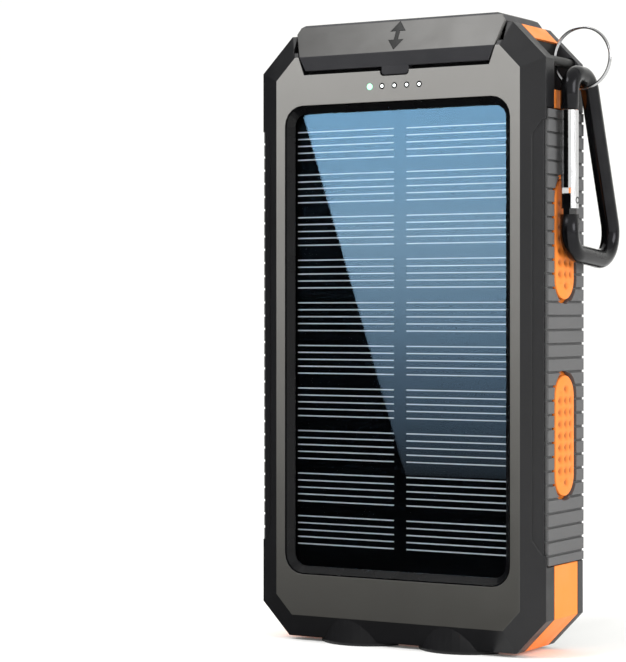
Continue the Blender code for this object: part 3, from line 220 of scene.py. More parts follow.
class Finish:
    """A material in the making: its nodes, links and Principled shader."""

    def __init__(self, name, roughness=0.5, metallic=0.0):
        self.material = bpy.data.materials.new(name)
        self.material.use_nodes = True
        self.nodes = self.material.node_tree.nodes
        self.links = self.material.node_tree.links
        self.shader = self.nodes["Principled BSDF"]
        self.shader.inputs["Roughness"].default_value = roughness
        self.shader.inputs["Metallic"].default_value = metallic
        self.place = self.nodes.new("ShaderNodeTexCoord").outputs["Object"]

    def noise(self, scale, detail=3.0, stretch=(1, 1, 1)):
        """Noise over the piece, in features per metre."""
        mapping = self.nodes.new("ShaderNodeMapping")
        mapping.inputs["Scale"].default_value = stretch
        self.links.new(self.place, mapping.inputs["Vector"])
        texture = self.nodes.new("ShaderNodeTexNoise")
        texture.inputs["Scale"].default_value = scale
        texture.inputs["Detail"].default_value = detail
        self.links.new(mapping.outputs["Vector"], texture.inputs["Vector"])
        return texture.outputs["Fac"]

    def ramp(self, value, low, high, start=0.0, end=1.0):
        """A value remapped from one span to another."""
        node = self.nodes.new("ShaderNodeMapRange")
        for key, number in (("From Min", start), ("From Max", end), ("To Min", low), ("To Max", high)):
            node.inputs[key].default_value = number
        self.links.new(value, node.inputs["Value"])
        return node.outputs["Result"]

    def math(self, operation, first, second=None):
        """One step of arithmetic on values or numbers."""
        node = self.nodes.new("ShaderNodeMath")
        node.operation = operation
        for socket, value in zip(node.inputs, (first, second)):
            if value is None:
                continue
            if isinstance(value, (int, float)):
                socket.default_value = value
            else:
                self.links.new(value, socket)
        return node.outputs[0]

    def mix(self, factor, first, second):
        """A colour between two colours."""
        node = self.nodes.new("ShaderNodeMix")
        node.data_type = "RGBA"
        self.links.new(factor, node.inputs["Factor"])
        for socket, value in ((node.inputs[6], first), (node.inputs[7], second)):
            if isinstance(value, tuple):
                socket.default_value = (*value[:3], 1.0)
            else:
                self.links.new(value, socket)
        return node.outputs[2]

    def axes(self):
        """The place's x, y and z."""
        node = self.nodes.new("ShaderNodeSeparateXYZ")
        self.links.new(self.place, node.inputs[0])
        return node.outputs

    def colour(self, value):
        """Give the shader its colour."""
        if isinstance(value, tuple):
            self.shader.inputs["Base Color"].default_value = (*value[:3], 1.0)
        else:
            self.links.new(value, self.shader.inputs["Base Color"])

    def roughness(self, value):
        """Give the shader its roughness."""
        self.links.new(value, self.shader.inputs["Roughness"])

    def bump(self, height, distance, strength=1.0, rounding=0.0):
        """Raise the surface by a height in metres, with edges rounded in shading."""
        node = self.nodes.new("ShaderNodeBump")
        node.inputs["Distance"].default_value = distance
        node.inputs["Strength"].default_value = strength
        self.links.new(height, node.inputs["Height"])
        if rounding:
            bevel = self.nodes.new("ShaderNodeBevel")
            bevel.samples = 4
            bevel.inputs["Radius"].default_value = rounding
            self.links.new(bevel.outputs[0], node.inputs["Normal"])
        self.links.new(node.outputs[0], self.shader.inputs["Normal"])


def shade(colour, factor):
    """A colour made darker or lighter."""
    return tuple(min(1.0, channel * factor) for channel in colour)


def moulded_plastic(name, colour, roughness, grain=0.03 * MM, rounding=0.35 * MM, variation=0.12, gloss=0.35):
    """Moulded plastic: a fine spark-eroded grain, faint colour drift and handled, shinier patches."""
    finish = Finish(name, roughness)
    finish.shader.inputs["Specular IOR Level"].default_value = gloss
    drift = finish.noise(60.0, 4.0)
    finish.colour(finish.mix(drift, shade(colour, 1 - variation), shade(colour, 1 + variation)))
    finish.roughness(finish.ramp(finish.noise(140.0, 5.0), roughness - 0.08, roughness + 0.1, 0.3, 0.7))
    finish.bump(finish.noise(5200.0, 2.0), grain, 0.5, rounding)
    return finish.material


def bright_metal(name, colour=(0.72, 0.72, 0.73), roughness=0.22, stretch=(1, 1, 1)):
    """Plated or brushed metal: fine drawn lines and slightly uneven polish."""
    finish = Finish(name, roughness, 1.0)
    lines = finish.noise(2600.0, 3.0, stretch)
    finish.colour(finish.mix(lines, shade(colour, 0.85), shade(colour, 1.12)))
    finish.roughness(finish.ramp(lines, roughness * 0.7, roughness * 1.4, 0.3, 0.7))
    finish.bump(lines, 0.01 * MM, 0.4)
    return finish.material


def clear_plastic(name, roughness=0.04, tint=(0.96, 0.98, 1.0), frost=0.0):
    """Clear moulded plastic, seen through, with a faint ripple in its gloss."""
    finish = Finish(name, roughness)
    finish.colour(tint)
    finish.shader.inputs["Transmission Weight"].default_value = 1.0
    finish.shader.inputs["IOR"].default_value = 1.46
    finish.roughness(finish.ramp(finish.noise(300.0, 2.0), roughness, roughness + 0.03 + frost, 0.4, 0.8))
    return finish.material


# ---------------------------------------------------------------- housing finishes

def dot_field(finish, pitch, low_x, high_x, low_z, high_z):
    """One inside every dot of a staggered field bounded in x and z, and nought elsewhere."""
    row_ratio = 0.866
    x, _, z = finish.axes()[:3]
    row = finish.math("DIVIDE", z, pitch * row_ratio)
    odd = finish.math("MODULO", finish.math("FLOOR", row), 2.0)
    column = finish.math("ADD", finish.math("DIVIDE", x, pitch), finish.math("MULTIPLY", odd, 0.5))
    across = finish.math("SUBTRACT", finish.math("FRACT", column), 0.5)
    upward = finish.math("MULTIPLY", finish.math("SUBTRACT", finish.math("FRACT", row), 0.5), row_ratio)
    square = finish.math("ADD", finish.math("MULTIPLY", across, across),
                         finish.math("MULTIPLY", upward, upward))
    dot = finish.ramp(finish.math("SQRT", square), 1.0, 0.0, 0.24, 0.36)
    inside = finish.math("MULTIPLY", finish.math("GREATER_THAN", x, low_x),
                         finish.math("LESS_THAN", x, high_x))
    level = finish.math("MULTIPLY", finish.math("GREATER_THAN", z, low_z),
                        finish.math("LESS_THAN", z, high_z))
    return finish.math("MULTIPLY", dot, finish.math("MULTIPLY", inside, level))


def front_cover_finish(colours):
    """Satin grey with painted shade that darkens it towards the lamps, with near-black bevels and sides."""
    finish = Finish("front_cover_plastic", 0.38)
    finish.shader.inputs["Specular IOR Level"].default_value = 0.3
    _, y, z = finish.axes()[:3]
    flat = finish.math("LESS_THAN", y, FACE_Y + 0.05 * MM)
    drift = finish.noise(45.0, 4.0)
    # Painted shade: the face grey runs darker from the top down towards the lamps.
    painted_shade_fade = finish.math("POWER", finish.ramp(z, 0.0, 1.0, COVER_LOW[2], COVER_HIGH[2]), 1.35)
    lower = finish.mix(drift, (0.034, 0.033, 0.030), (0.042, 0.041, 0.037))
    upper = finish.mix(drift, shade(colours.face_grey, 0.92), shade(colours.face_grey, 1.08))
    face = finish.mix(painted_shade_fade, lower, upper)
    edge = finish.mix(drift, shade(colours.edge_grey, 0.80), shade(colours.edge_grey, 1.3))
    finish.colour(finish.mix(flat, edge, face))
    finish.roughness(finish.ramp(finish.noise(160.0, 5.0), 0.30, 0.46, 0.3, 0.7))
    finish.bump(finish.noise(6000.0, 2.0), 0.02 * MM, 0.5, 0.35 * MM)
    return finish.material


def rear_cover_finish(sizes, colours):
    """Charcoal plastic, its two sunken panels covered in small raised dots."""
    finish = Finish("rear_cover_plastic", 0.5)
    x_half = 25.5 * MM
    base = shade(colours.edge_grey, 3.2)
    finish.shader.inputs["Specular IOR Level"].default_value = 0.35
    drift = finish.noise(50.0, 4.0)
    upper = dot_field(finish, sizes.dot_pitch, MID_X - x_half, MID_X + x_half, 67.0 * MM, 97.0 * MM)
    lower = dot_field(finish, sizes.dot_pitch, MID_X - x_half + 6 * MM, MID_X + x_half - 6 * MM,
                      16.5 * MM, 32.0 * MM)
    behind = finish.math("GREATER_THAN", finish.axes()[1], REAR_Y - 0.7 * MM)
    dots = finish.math("MULTIPLY", finish.math("ADD", upper, lower), behind)
    body = finish.mix(drift, shade(base, 0.85), shade(base, 1.2))
    finish.colour(finish.mix(dots, body, shade(base, 1.7)))
    grain = finish.math("MULTIPLY", finish.noise(5200.0, 2.0), 0.05)
    finish.bump(finish.math("ADD", dots, grain), 0.35 * MM, 0.9, 0.3 * MM)
    return finish.material


def mid_frame_finish(colours):
    """Orange plastic, with painted shade in black inside the ring's notch."""
    finish = Finish("mid_frame_plastic", 0.42)
    finish.shader.inputs["Specular IOR Level"].default_value = 0.2
    orange = tuple(colours.orange)
    drift = finish.noise(60.0, 4.0)
    body = finish.mix(drift, shade(orange, 0.9), shade(orange, 1.08))
    x, _, z = finish.axes()[:3]
    pin_z = sum(node_box("ring_pin")[k][2] for k in (0, 1)) / 2
    span = finish.math("MULTIPLY", finish.math("GREATER_THAN", z, pin_z - NOTCH_BELOW_PIN),
                       finish.math("LESS_THAN", z, pin_z + NOTCH_ABOVE_PIN))
    sunk = finish.math("MULTIPLY", finish.math("GREATER_THAN", x, MID_X + NOTCH_INNER),
                       finish.math("LESS_THAN", x, MID_X + NOTCH_OUTER))
    # Painted shade: the notch's inner walls are coloured black where shade falls.
    notch = finish.math("MULTIPLY", span, sunk)
    finish.colour(finish.mix(notch, body, PAINTED_SHADE_BLACK))
    finish.roughness(finish.ramp(finish.noise(140.0, 5.0), 0.34, 0.52, 0.3, 0.7))
    finish.bump(finish.noise(5200.0, 2.0), 0.03 * MM, 0.5, 0.35 * MM)
    return finish.material


def flap_finish(colours):
    """Grey on the flap's slope, with painted light making it lighter towards the right, and charcoal on its
    lip, tab, top and rear.
    """
    finish = Finish("flap_plastic", 0.4)
    finish.shader.inputs["Specular IOR Level"].default_value = 0.3
    high = node_box("port_flap")[1]
    _, y, z = finish.axes()[:3]
    drift = finish.noise(55.0, 4.0)
    dark = finish.mix(drift, shade(colours.edge_grey, 2.6), shade(colours.edge_grey, 3.6))
    # Painted light: the slope's grey runs from darker on the left to lighter on the right.
    side = finish.ramp(finish.axes()[0], 0.0, 1.0, MID_X - 28 * MM, MID_X + 18 * MM)
    grey = finish.mix(side, shade(colours.face_grey, 0.18), shade(colours.face_grey, 0.57))
    slope = finish.math("MULTIPLY", finish.math("GREATER_THAN", z, high[2] - SLOPE_FOOT),
                        finish.math("LESS_THAN", z, high[2] - SLOPE_CREST))
    front = finish.math("LESS_THAN", y, FACE_Y + SLOPE_SET_BACK)
    finish.colour(finish.mix(finish.math("MULTIPLY", slope, front), dark, grey))
    finish.roughness(finish.ramp(finish.noise(150.0, 5.0), 0.34, 0.5, 0.3, 0.7))
    finish.bump(finish.noise(5200.0, 2.0), 0.02 * MM, 0.5, 0.3 * MM)
    return finish.material


def rubber_finish(name, colour):
    """Soft-touch rubber: matt, dusty in patches, with a fine grain."""
    finish = Finish(name, 0.78)
    finish.shader.inputs["Specular IOR Level"].default_value = 0.3
    dust = finish.noise(90.0, 5.0)
    finish.colour(finish.mix(dust, shade(colour, 0.82), shade(colour, 1.25)))
    finish.roughness(finish.ramp(dust, 0.68, 0.88, 0.3, 0.7))
    finish.bump(finish.noise(3800.0, 3.0), 0.05 * MM, 0.6, 0.18 * MM)
    return finish.material


def board_finish(name):
    """Green solder mask with copper tracks faintly raised beneath it."""
    finish = Finish(name, 0.35)
    tracks = finish.ramp(finish.noise(420.0, 0.0, (1, 1, 0.3)), 0.0, 1.0, 0.48, 0.52)
    finish.colour(finish.mix(tracks, (0.015, 0.10, 0.04), (0.03, 0.19, 0.08)))
    finish.bump(tracks, 0.04 * MM, 0.6)
    return finish.material


def cell_film_finish():
    """Shrink film over the pouch cell, slightly wrinkled."""
    finish = Finish("cell_film", 0.3)
    wrinkle = finish.noise(150.0, 3.0, (1, 1, 0.25))
    finish.colour(finish.mix(wrinkle, (0.04, 0.10, 0.22), (0.07, 0.17, 0.34)))
    finish.bump(wrinkle, 0.15 * MM, 0.5)
    return finish.material


def glowing_chip_finish():
    """Yellow phosphor that glows warm white."""
    finish = Finish("lamp_phosphor", 0.4)
    speckle = finish.noise(2500.0, 2.0)
    finish.colour(finish.mix(speckle, (0.85, 0.75, 0.25), (0.95, 0.90, 0.50)))
    finish.shader.inputs["Emission Color"].default_value = (1.0, 0.95, 0.85, 1.0)
    finish.shader.inputs["Emission Strength"].default_value = 1.2
    return finish.material


def paint(material, *names):
    """Give CAD nodes a material in every slot."""
    for name in names:
        node = NODES[name]
        if not node.material_slots:
            node.data.materials.append(material)
        for slot in node.material_slots:
            slot.material = material


class HousingFinish(bpy.types.Operator):
    """Finish the covers, mid frame, grips, flap and the fittings round them"""

    bl_idname = "charger.housing_finish"
    bl_label = "Housing finish"

    def execute(self, context):
        sizes = context.scene.charger_sizes
        colours = context.scene.charger_colours
        paint(front_cover_finish(colours), "front_cover")
        paint(rear_cover_finish(sizes, colours), "rear_cover")
        paint(mid_frame_finish(colours), "mid_frame")
        paint(flap_finish(colours), "port_flap")
        paint(moulded_plastic("rim_plastic", (0.003, 0.003, 0.0035), 0.30, rounding=0.2 * MM, gloss=0.15),
              "window_rim")
        paint(rubber_finish("grip_rubber", tuple(colours.rubber_grey)), "side_grip_left", "side_grip_right")
        paint(rubber_finish("seal_rubber", (0.015, 0.015, 0.015)), "flap_seal")
        paint(moulded_plastic("button_plastic", tuple(colours.edge_grey), 0.4), "power_button")
        paint(bright_metal("pin_steel", stretch=(0.05, 1, 1)), "hinge_pin")
        # The ring pin is painted black as shade, so it sinks into the notch's painted shade.
        paint(moulded_plastic("pin_painted_shade", (0.01, 0.01, 0.01), 0.4), "ring_pin")
        paint(bright_metal("socket_steel", roughness=0.3, stretch=(1, 1, 0.1)),
              "usb_a_left", "usb_a_right", "usb_c_middle")
        return {"FINISHED"}


class InnerFinish(bpy.types.Operator):
    """Finish the boards, cell, wires and screws inside"""

    bl_idname = "charger.inner_finish"
    bl_label = "Inner parts finish"

    def execute(self, context):
        paint(board_finish("solder_mask"), "main_board", "lamp_board")
        paint(cell_film_finish(), "battery_cell")
        paint(rubber_finish("foam", (0.02, 0.02, 0.02)), "foam_pad")
        paint(moulded_plastic("switch_plastic", (0.02, 0.02, 0.02), 0.5), "tact_switch")
        paint(moulded_plastic("red_insulation", (0.45, 0.02, 0.02), 0.4), "solar_lead_plus")
        paint(moulded_plastic("black_insulation", (0.01, 0.01, 0.01), 0.4), "solar_lead_minus")
        paint(bright_metal("screw_steel"), "board_screw_left", "board_screw_right", "compass_pivot")
        return {"FINISHED"}


# ---------------------------------------------------------------- solar face and lights

def solar_cell_finish():
    """Near-black laminated cells with a faint blue cast and hairline texture."""
    finish = Finish("solar_cells", 0.25)
    hair = finish.noise(900.0, 3.0, (0.06, 1, 1))
    finish.shader.inputs["Specular IOR Level"].default_value = 0.03
    finish.colour(finish.mix(hair, (0.0010, 0.0012, 0.0016), (0.0026, 0.003, 0.004)))
    finish.bump(hair, 0.002 * MM, 0.1)
    return finish.material


def finger_silver():
    """Printed silver paste: pale, slightly rough, with tiny breaks in brightness."""
    finish = Finish("finger_silver", 0.4, 0.0)
    grain = finish.noise(1800.0, 2.0)
    finish.colour(finish.mix(grain, (0.74, 0.77, 0.77), (0.86, 0.88, 0.88)))
    finish.bump(grain, 0.01 * MM, 0.3)
    return finish.material


def window_gloss():
    """The clear sheet: see-through, and smooth enough to mirror the sky."""
    finish = Finish("window_clear", 0.02)
    finish.colour((0.98, 0.99, 1.0))
    finish.shader.inputs["Transmission Weight"].default_value = 1.0
    finish.shader.inputs["IOR"].default_value = 1.45
    finish.roughness(finish.ramp(finish.noise(120.0, 2.0), 0.0, 0.03, 0.4, 0.8))
    return finish.material


class SolarFace(bpy.types.Operator):
    """Build the printed collector fingers and finish the cells and the clear window"""

    bl_idname = "charger.solar_face"
    bl_label = "Solar face"

    def execute(self, context):
        sizes = context.scene.charger_sizes
        paint(solar_cell_finish(), "solar_panel")
        paint(window_gloss(), "solar_window")
        low, high = node_box("solar_panel")
        front = low[1]
        inset = 1.6 * MM
        group, finger = np.meshgrid(np.arange(sizes.finger_groups), np.arange(sizes.fingers_in_group),
                                    indexing="ij")
        drop = sizes.first_finger + group.ravel() * sizes.group_pitch + finger.ravel() * sizes.finger_pitch
        z = high[2] - 1.0 * MM - drop
        half = sizes.finger_width / 2
        lows, highs = [], []
        for x0, x1 in ((low[0] + inset, MID_X - sizes.column_gap / 2 - 0.15 * MM),
                       (MID_X + sizes.column_gap / 2 - 0.15 * MM, high[0] - inset)):
            x_low, x_high = np.full_like(z, x0), np.full_like(z, x1)
            lows.append(np.stack([x_low, np.full_like(z, front - 0.12 * MM), z - half], axis=-1))
            highs.append(np.stack([x_high, np.full_like(z, front - 0.02 * MM), z + half], axis=-1))
        fingers = block_grid("solar_fingers", np.concatenate(lows), np.concatenate(highs))
        settle(fingers, "housing", "solar_cell", finger_silver())
        return {"FINISHED"}


def light_finish(name, colour, strength):
    """A small clear light that glows."""
    finish = Finish(name, 0.2)
    glow = finish.noise(900.0, 1.0)
    finish.colour(finish.mix(glow, shade(colour, 0.9), colour))
    finish.shader.inputs["Emission Color"].default_value = (*colour, 1.0)
    finish.shader.inputs["Emission Strength"].default_value = strength
    return finish.material


def dome_surface(centre, radius, y_base, rise, rings=8, steps=24):
    """Points of a shallow button: radius times the cosine, and rise times the sine, of an angle."""
    angle = np.linspace(0, np.pi / 2 * 0.98, rings)
    profile = np.stack([radius * np.cos(angle), y_base - rise * np.sin(angle)], axis=-1)
    profile = np.concatenate([[(radius * 0.02, y_base)], [(radius, y_base)], profile[1:]])
    return turned_surface(profile, (centre[0], 0.0, centre[1]), 1, steps)


class IndicatorLights(bpy.types.Operator):
    """Build the row of indicator lights, the first one green"""

    bl_idname = "charger.indicator_lights"
    bl_label = "Indicator lights"

    def execute(self, context):
        paint(clear_plastic("guide_clear", 0.15), "light_guide")
        low, high = node_box("light_guide")
        pitch = (high[0] - low[0]) / LIGHT_COUNT
        z = (low[2] + high[2]) / 2
        white = light_finish("indicator_white", (0.85, 0.90, 0.88), 1.6)
        green = light_finish("indicator_green", (0.25, 0.85, 0.45), 2.2)
        for i in range(LIGHT_COUNT):
            x = low[0] + pitch * (i + 0.5)
            radius = FIRST_LIGHT_RADIUS if i == 0 else LIGHT_RADIUS
            dome = dome_surface((x, z), radius, FACE_Y - 0.02 * MM, 0.22 * MM)
            lens = grid_object(f"indicator_{i + 1}", dome, close_v=True)
            turn_outward(lens)
            settle(lens, "housing", "clear_plastic", green if i == 0 else white)
        return {"FINISHED"}


# ---------------------------------------------------------------- grip pads and flap mark

def pad_finish(colour):
    """Orange rubber, with painted shade darker and browner down in each dimple."""
    finish = Finish("pad_rubber", 0.6)
    finish.shader.inputs["Specular IOR Level"].default_value = 0.3
    sunk = finish.nodes.new("ShaderNodeAttribute")
    sunk.attribute_name = "sunk"
    drift = finish.noise(120.0, 4.0)
    crown = finish.mix(drift, shade(colour, 0.86), shade(colour, 0.98))
    # Painted shade: the colour darkens with the sunk attribute, most deeply in each dimple.
    finish.colour(finish.mix(sunk.outputs["Fac"], crown, shade(colour, 0.36)))
    finish.bump(finish.noise(2600.0, 3.0), 0.02 * MM, 0.5)
    return finish.material


def pad_surface(low, high, outward, crown, pitch, depth):
    """Points of a stadium pad.

    Height runs along the first parameter; the second goes across the front and back again behind. The half
    width is the stadium's, the front swells by the crown times one minus the square of the place across, and
    each staggered dimple takes away its depth times a bell curve of the distance from its middle.
    """
    rows, across = 150, 34
    half_y, half_z = (high[1] - low[1]) / 2, (high[2] - low[2]) / 2
    t = -np.cos(np.linspace(0, np.pi, rows)) * 0.9995
    z = t * half_z
    past = np.clip(np.abs(z) - (half_z - half_y), 0, None)
    width = np.sqrt(np.clip(half_y ** 2 - past ** 2, 1e-12, None))
    s = np.sin(np.linspace(-np.pi / 2, np.pi / 2, across))
    y = width[:, None] * s[None]
    reach = np.clip(1 - (width[:, None] / half_y - 1) ** 2, 0, 1)
    front = crown * (1 - s[None] ** 2) * reach
    zz = np.broadcast_to(z[:, None], y.shape)
    sunk = np.zeros_like(y)
    for column in (-1, 0, 1):
        nearest = zz - pitch * np.round(zz / pitch)
        square = nearest ** 2 + (y - column * half_y * 0.56) ** 2
        room = half_z - np.abs(zz) - (1.8 + 1.6 * abs(column)) * MM
        sunk += np.clip(room / MM, 0, 1) * np.exp(-square / (0.8 * MM) ** 2)
    front = front - depth * sunk
    face = high[0] if outward > 0 else low[0]
    back = low[0] if outward > 0 else high[0]
    mid_y, mid_z = (high[1] + low[1]) / 2, (high[2] + low[2]) / 2
    shell = np.stack([face + outward * front, mid_y + y, mid_z + zz], axis=-1)
    rear = np.stack([np.full_like(y, back), mid_y + y * 0.98, mid_z + zz], axis=-1)[:, ::-1]
    return np.concatenate([shell, rear], axis=1), np.concatenate([sunk, np.zeros_like(sunk)], axis=1)


class GripPads(bpy.types.Operator):
    """Build the four dimpled pads in the side grips"""

    bl_idname = "charger.grip_pads"
    bl_label = "Grip pads"

    def execute(self, context):
        sizes = context.scene.charger_sizes
        material = pad_finish(tuple(context.scene.charger_colours.orange))
        for word, outward in (("left", -1), ("right", 1)):
            for level in ("lower", "upper"):
                node = f"grip_pad_{word}_{level}"
                low, high = node_box(node)
                points, sunk = pad_surface(low, high, outward, sizes.pad_crown, sizes.dimple_pitch,
                                           sizes.dimple_depth)
                pad = grid_object(f"dimpled_pad_{word}_{level}", points, close_v=True)
                # The sunk attribute carries the dimple depth that sets the pads' painted shade.
                depth = pad.data.attributes.new("sunk", "FLOAT", "POINT")
                depth.data.foreach_set("value", sunk.astype(np.float32).ravel())
                turn_outward(pad)
                settle(pad, "housing", "orange_rubber", material, node)
        return {"FINISHED"}


def arrow_outline(height, width, shaft):
    """Half the outline of a double-headed arrow, as (across, along) points from tip to tip."""
    half, head = height / 2, width * 0.62
    return np.array([(0.0, half), (width / 2, half - head), (shaft / 2, half - head),
                     (shaft / 2, head - half), (width / 2, head - half), (0.0, -half)])


class FlapMark(bpy.types.Operator):
    """Print the double-headed arrow on the flap's sloped front"""

    bl_idname = "charger.flap_mark"
    bl_label = "Flap arrow"

    def execute(self, context):
        high = node_box("port_flap")[1]
        slope_low = np.array([MID_X, FACE_Y, high[2] - 8.0 * MM])
        slope_high = np.array([MID_X, FACE_Y + SLOPE_SET_BACK, high[2]])
        along = (slope_high - slope_low) / np.linalg.norm(slope_high - slope_low)
        outward = np.array([0.0, -along[2], along[1]])
        half = arrow_outline(ARROW_LENGTH, ARROW_WIDTH, ARROW_SHAFT)
        ring = np.concatenate([half, (half * (-1, 1))[::-1][1:-1]])
        ring[:, 0] += ring[:, 1] * ARROW_SLANT
        middle = (slope_low + slope_high) / 2
        place = middle + ring[:, :1] * (1.0, 0.0, 0.0) + ring[:, 1:] * along
        top, base = place + outward * 0.05 * MM, place - outward * 0.03 * MM
        count = len(ring)
        mesh = bpy.data.meshes.new("flap_arrow")
        i = np.arange(count)
        sides = np.stack([i, (i + 1) % count, (i + 1) % count + count, i + count], axis=-1)
        faces = [list(range(count)), list(range(count, 2 * count))] + sides.tolist()
        mesh.from_pydata(np.concatenate([top, base]).tolist(), [], faces)
        arrow = bpy.data.objects.new("flap_arrow", mesh)
        bpy.context.scene.collection.objects.link(arrow)
        turn_outward(arrow)
        settle(arrow, "flap", "charcoal_plastic", moulded_plastic("arrow_ink", (0.006, 0.006, 0.006), 0.5))
        return {"FINISHED"}


# ---------------------------------------------------------------- lamps and compass

class Lamps(bpy.types.Operator):
    """Build the ribbed lamp lenses and finish the reflectors and chips"""

    bl_idname = "charger.lamps"
    bl_label = "Torch lamps"

    def execute(self, context):
        paint(bright_metal("reflector_chrome", (0.85, 0.85, 0.86), 0.06),
              "lamp_reflector_left", "lamp_reflector_right")
        paint(glowing_chip_finish(), "lamp_chip_left", "lamp_chip_right")
        material = clear_plastic("lens_clear", 0.05)
        for word in ("left", "right"):
            node = f"lamp_lens_{word}"
            low, high = node_box(node)
            centre = ((low[0] + high[0]) / 2, (low[1] + high[1]) / 2, 0.0)
            radius = (high[0] - low[0]) / 2
            r = np.linspace(radius, radius * 0.01, 40)
            ripple = 0.12 * MM * (0.5 - 0.5 * np.cos(r / radius * 2 * np.pi * 5))
            lower = np.stack([r, low[2] + ripple], axis=-1)
            upper = np.array([(radius * 0.01, high[2]), (radius, high[2])])
            lens = grid_object(f"ribbed_lens_{word}",
                               turned_surface(np.concatenate([lower, upper]), centre, 2),
                               close_u=True, close_v=True)
            turn_outward(lens)
            settle(lens, "housing", "clear_plastic", material, node)
        return {"FINISHED"}


def spokes(name, centre, y_low, y_high, angles, inner, outer, width):
    """Thin radial blocks on a dial: each angle turns a bar that runs from the inner to the outer radius."""
    corners = np.array([(r, w, y) for y in (y_low, y_high) for r, w in
                        ((inner, -width / 2), (outer, -width / 2), (outer, width / 2), (inner, width / 2))])
    cos, sin = np.cos(angles)[:, None], np.sin(angles)[:, None]
    x = centre[0] + corners[None, :, 0] * cos - corners[None, :, 1] * sin
    z = centre[2] + corners[None, :, 0] * sin + corners[None, :, 1] * cos
    y = np.broadcast_to(corners[None, :, 2], x.shape)
    side = np.array([(0, 3, 2, 1), (4, 5, 6, 7), (0, 1, 5, 4), (1, 2, 6, 5), (2, 3, 7, 6), (3, 0, 4, 7)])
    faces = side[None] + 8 * np.arange(len(angles))[:, None, None]
    piece = mesh_object(name, np.stack([x, y, z], axis=-1).reshape(-1, 3), faces.reshape(-1, 4), smooth=False)
    turn_outward(piece)
    return piece


class Compass(bpy.types.Operator):
    """Build the compass dial's ticks and needle and finish its cup and dome"""

    bl_idname = "charger.compass"
    bl_label = "Compass"

    def execute(self, context):
        paint(moulded_plastic("compass_cup_plastic", (0.012, 0.012, 0.013), 0.3), "compass_cup")
        paint(clear_plastic("dome_clear", 0.02), "compass_dome")
        paint(bright_metal("dial_silver", (0.62, 0.63, 0.65), 0.45), "compass_card")
        low, high = node_box("compass_card")
        centre = (low + high) / 2
        radius = (high[0] - low[0]) / 2
        face = high[1]
        ink = moulded_plastic("dial_ink", (0.01, 0.01, 0.01), 0.5, rounding=0)
        red = moulded_plastic("dial_red", (0.55, 0.02, 0.02), 0.5, rounding=0)
        turn = 2 * np.pi * np.arange(36) / 36
        ticks = spokes("dial_ticks", centre, face - 0.05 * MM, face + 0.06 * MM, turn,
                       radius * 0.82, radius * 0.95, 0.22 * MM)
        settle(ticks, "compass_needle", "black_plastic", ink)
        quarters = spokes("dial_quarters", centre, face - 0.05 * MM, face + 0.07 * MM, turn[::9] + 0.001,
                          radius * 0.50, radius * 0.78, 0.9 * MM)
        settle(quarters, "compass_needle", "black_plastic", ink)
        for name, angle, material in (("needle_north", np.pi / 2, red), ("needle_south", -np.pi / 2, ink)):
            needle = spokes(name, centre, face + 0.02 * MM, face + 0.16 * MM, np.array([angle]),
                            0.1 * MM, radius * 0.46, 1.1 * MM)
            settle(needle, "compass_needle", "black_plastic", material)
        return {"FINISHED"}


# ---------------------------------------------------------------- ring and carabiner

def bend_points(before, corner, after, radius, steps=14):
    """Points of the arc that rounds a corner: the start arm turned towards the end arm in equal steps."""
    corner = np.array(corner)
    into = (np.array(before) - corner) / np.linalg.norm(np.array(before) - corner)
    out = (np.array(after) - corner) / np.linalg.norm(np.array(after) - corner)
    half = math.acos(float(into @ out)) / 2
    middle = corner + (into + out) / np.linalg.norm(into + out) * radius / math.sin(half)
    start = corner + into * radius / math.tan(half) - middle
    end = corner + out * radius / math.tan(half) - middle
    turn = math.pi - 2 * half
    t = np.linspace(0, 1, steps)[:, None]
    return middle + (start * np.sin((1 - t) * turn) + end * np.sin(t * turn)) / math.sin(turn)


def closed_rod(name, path, radius, sides=24):
    """A smooth rod along a path, its ends drawn in to flat caps."""
    path = np.concatenate([path[:1], path, path[-1:]])
    path[0] += (path[1] - path[2]) * 1e-4
    path[-1] += (path[-2] - path[-3]) * 1e-4
    radii = np.full(len(path), radius)
    radii[[0, -1]] = radius * 0.02
    rod = grid_object(name, rod_surface(path, radii, sides), close_v=True)
    return rod


def gate_finish():
    """Bright pressed steel, with painted shade in black down the slot at the front of the gate."""
    finish = Finish("gate_steel", 0.2, 1.0)
    low, high = node_box("carabiner_gate")
    x, y = finish.axes()[:2]
    across = finish.math("ABSOLUTE", finish.math("SUBTRACT", x, (low[0] + high[0]) / 2))
    slot = finish.math("MULTIPLY", finish.math("LESS_THAN", across, GATE_SLOT_HALF),
                       finish.math("LESS_THAN", y, low[1] + GATE_SLOT_DEPTH))
    lines = finish.noise(2600.0, 3.0, (1, 1, 0.05))
    steel = finish.mix(lines, (0.52, 0.52, 0.53), (0.76, 0.76, 0.77))
    # Painted shade: the slot's inside is coloured black where shade falls.
    finish.colour(finish.mix(slot, steel, PAINTED_SHADE_BLACK))
    finish.roughness(finish.ramp(lines, 0.16, 0.30, 0.3, 0.7))
    finish.bump(lines, 0.01 * MM, 0.4)
    return finish.material


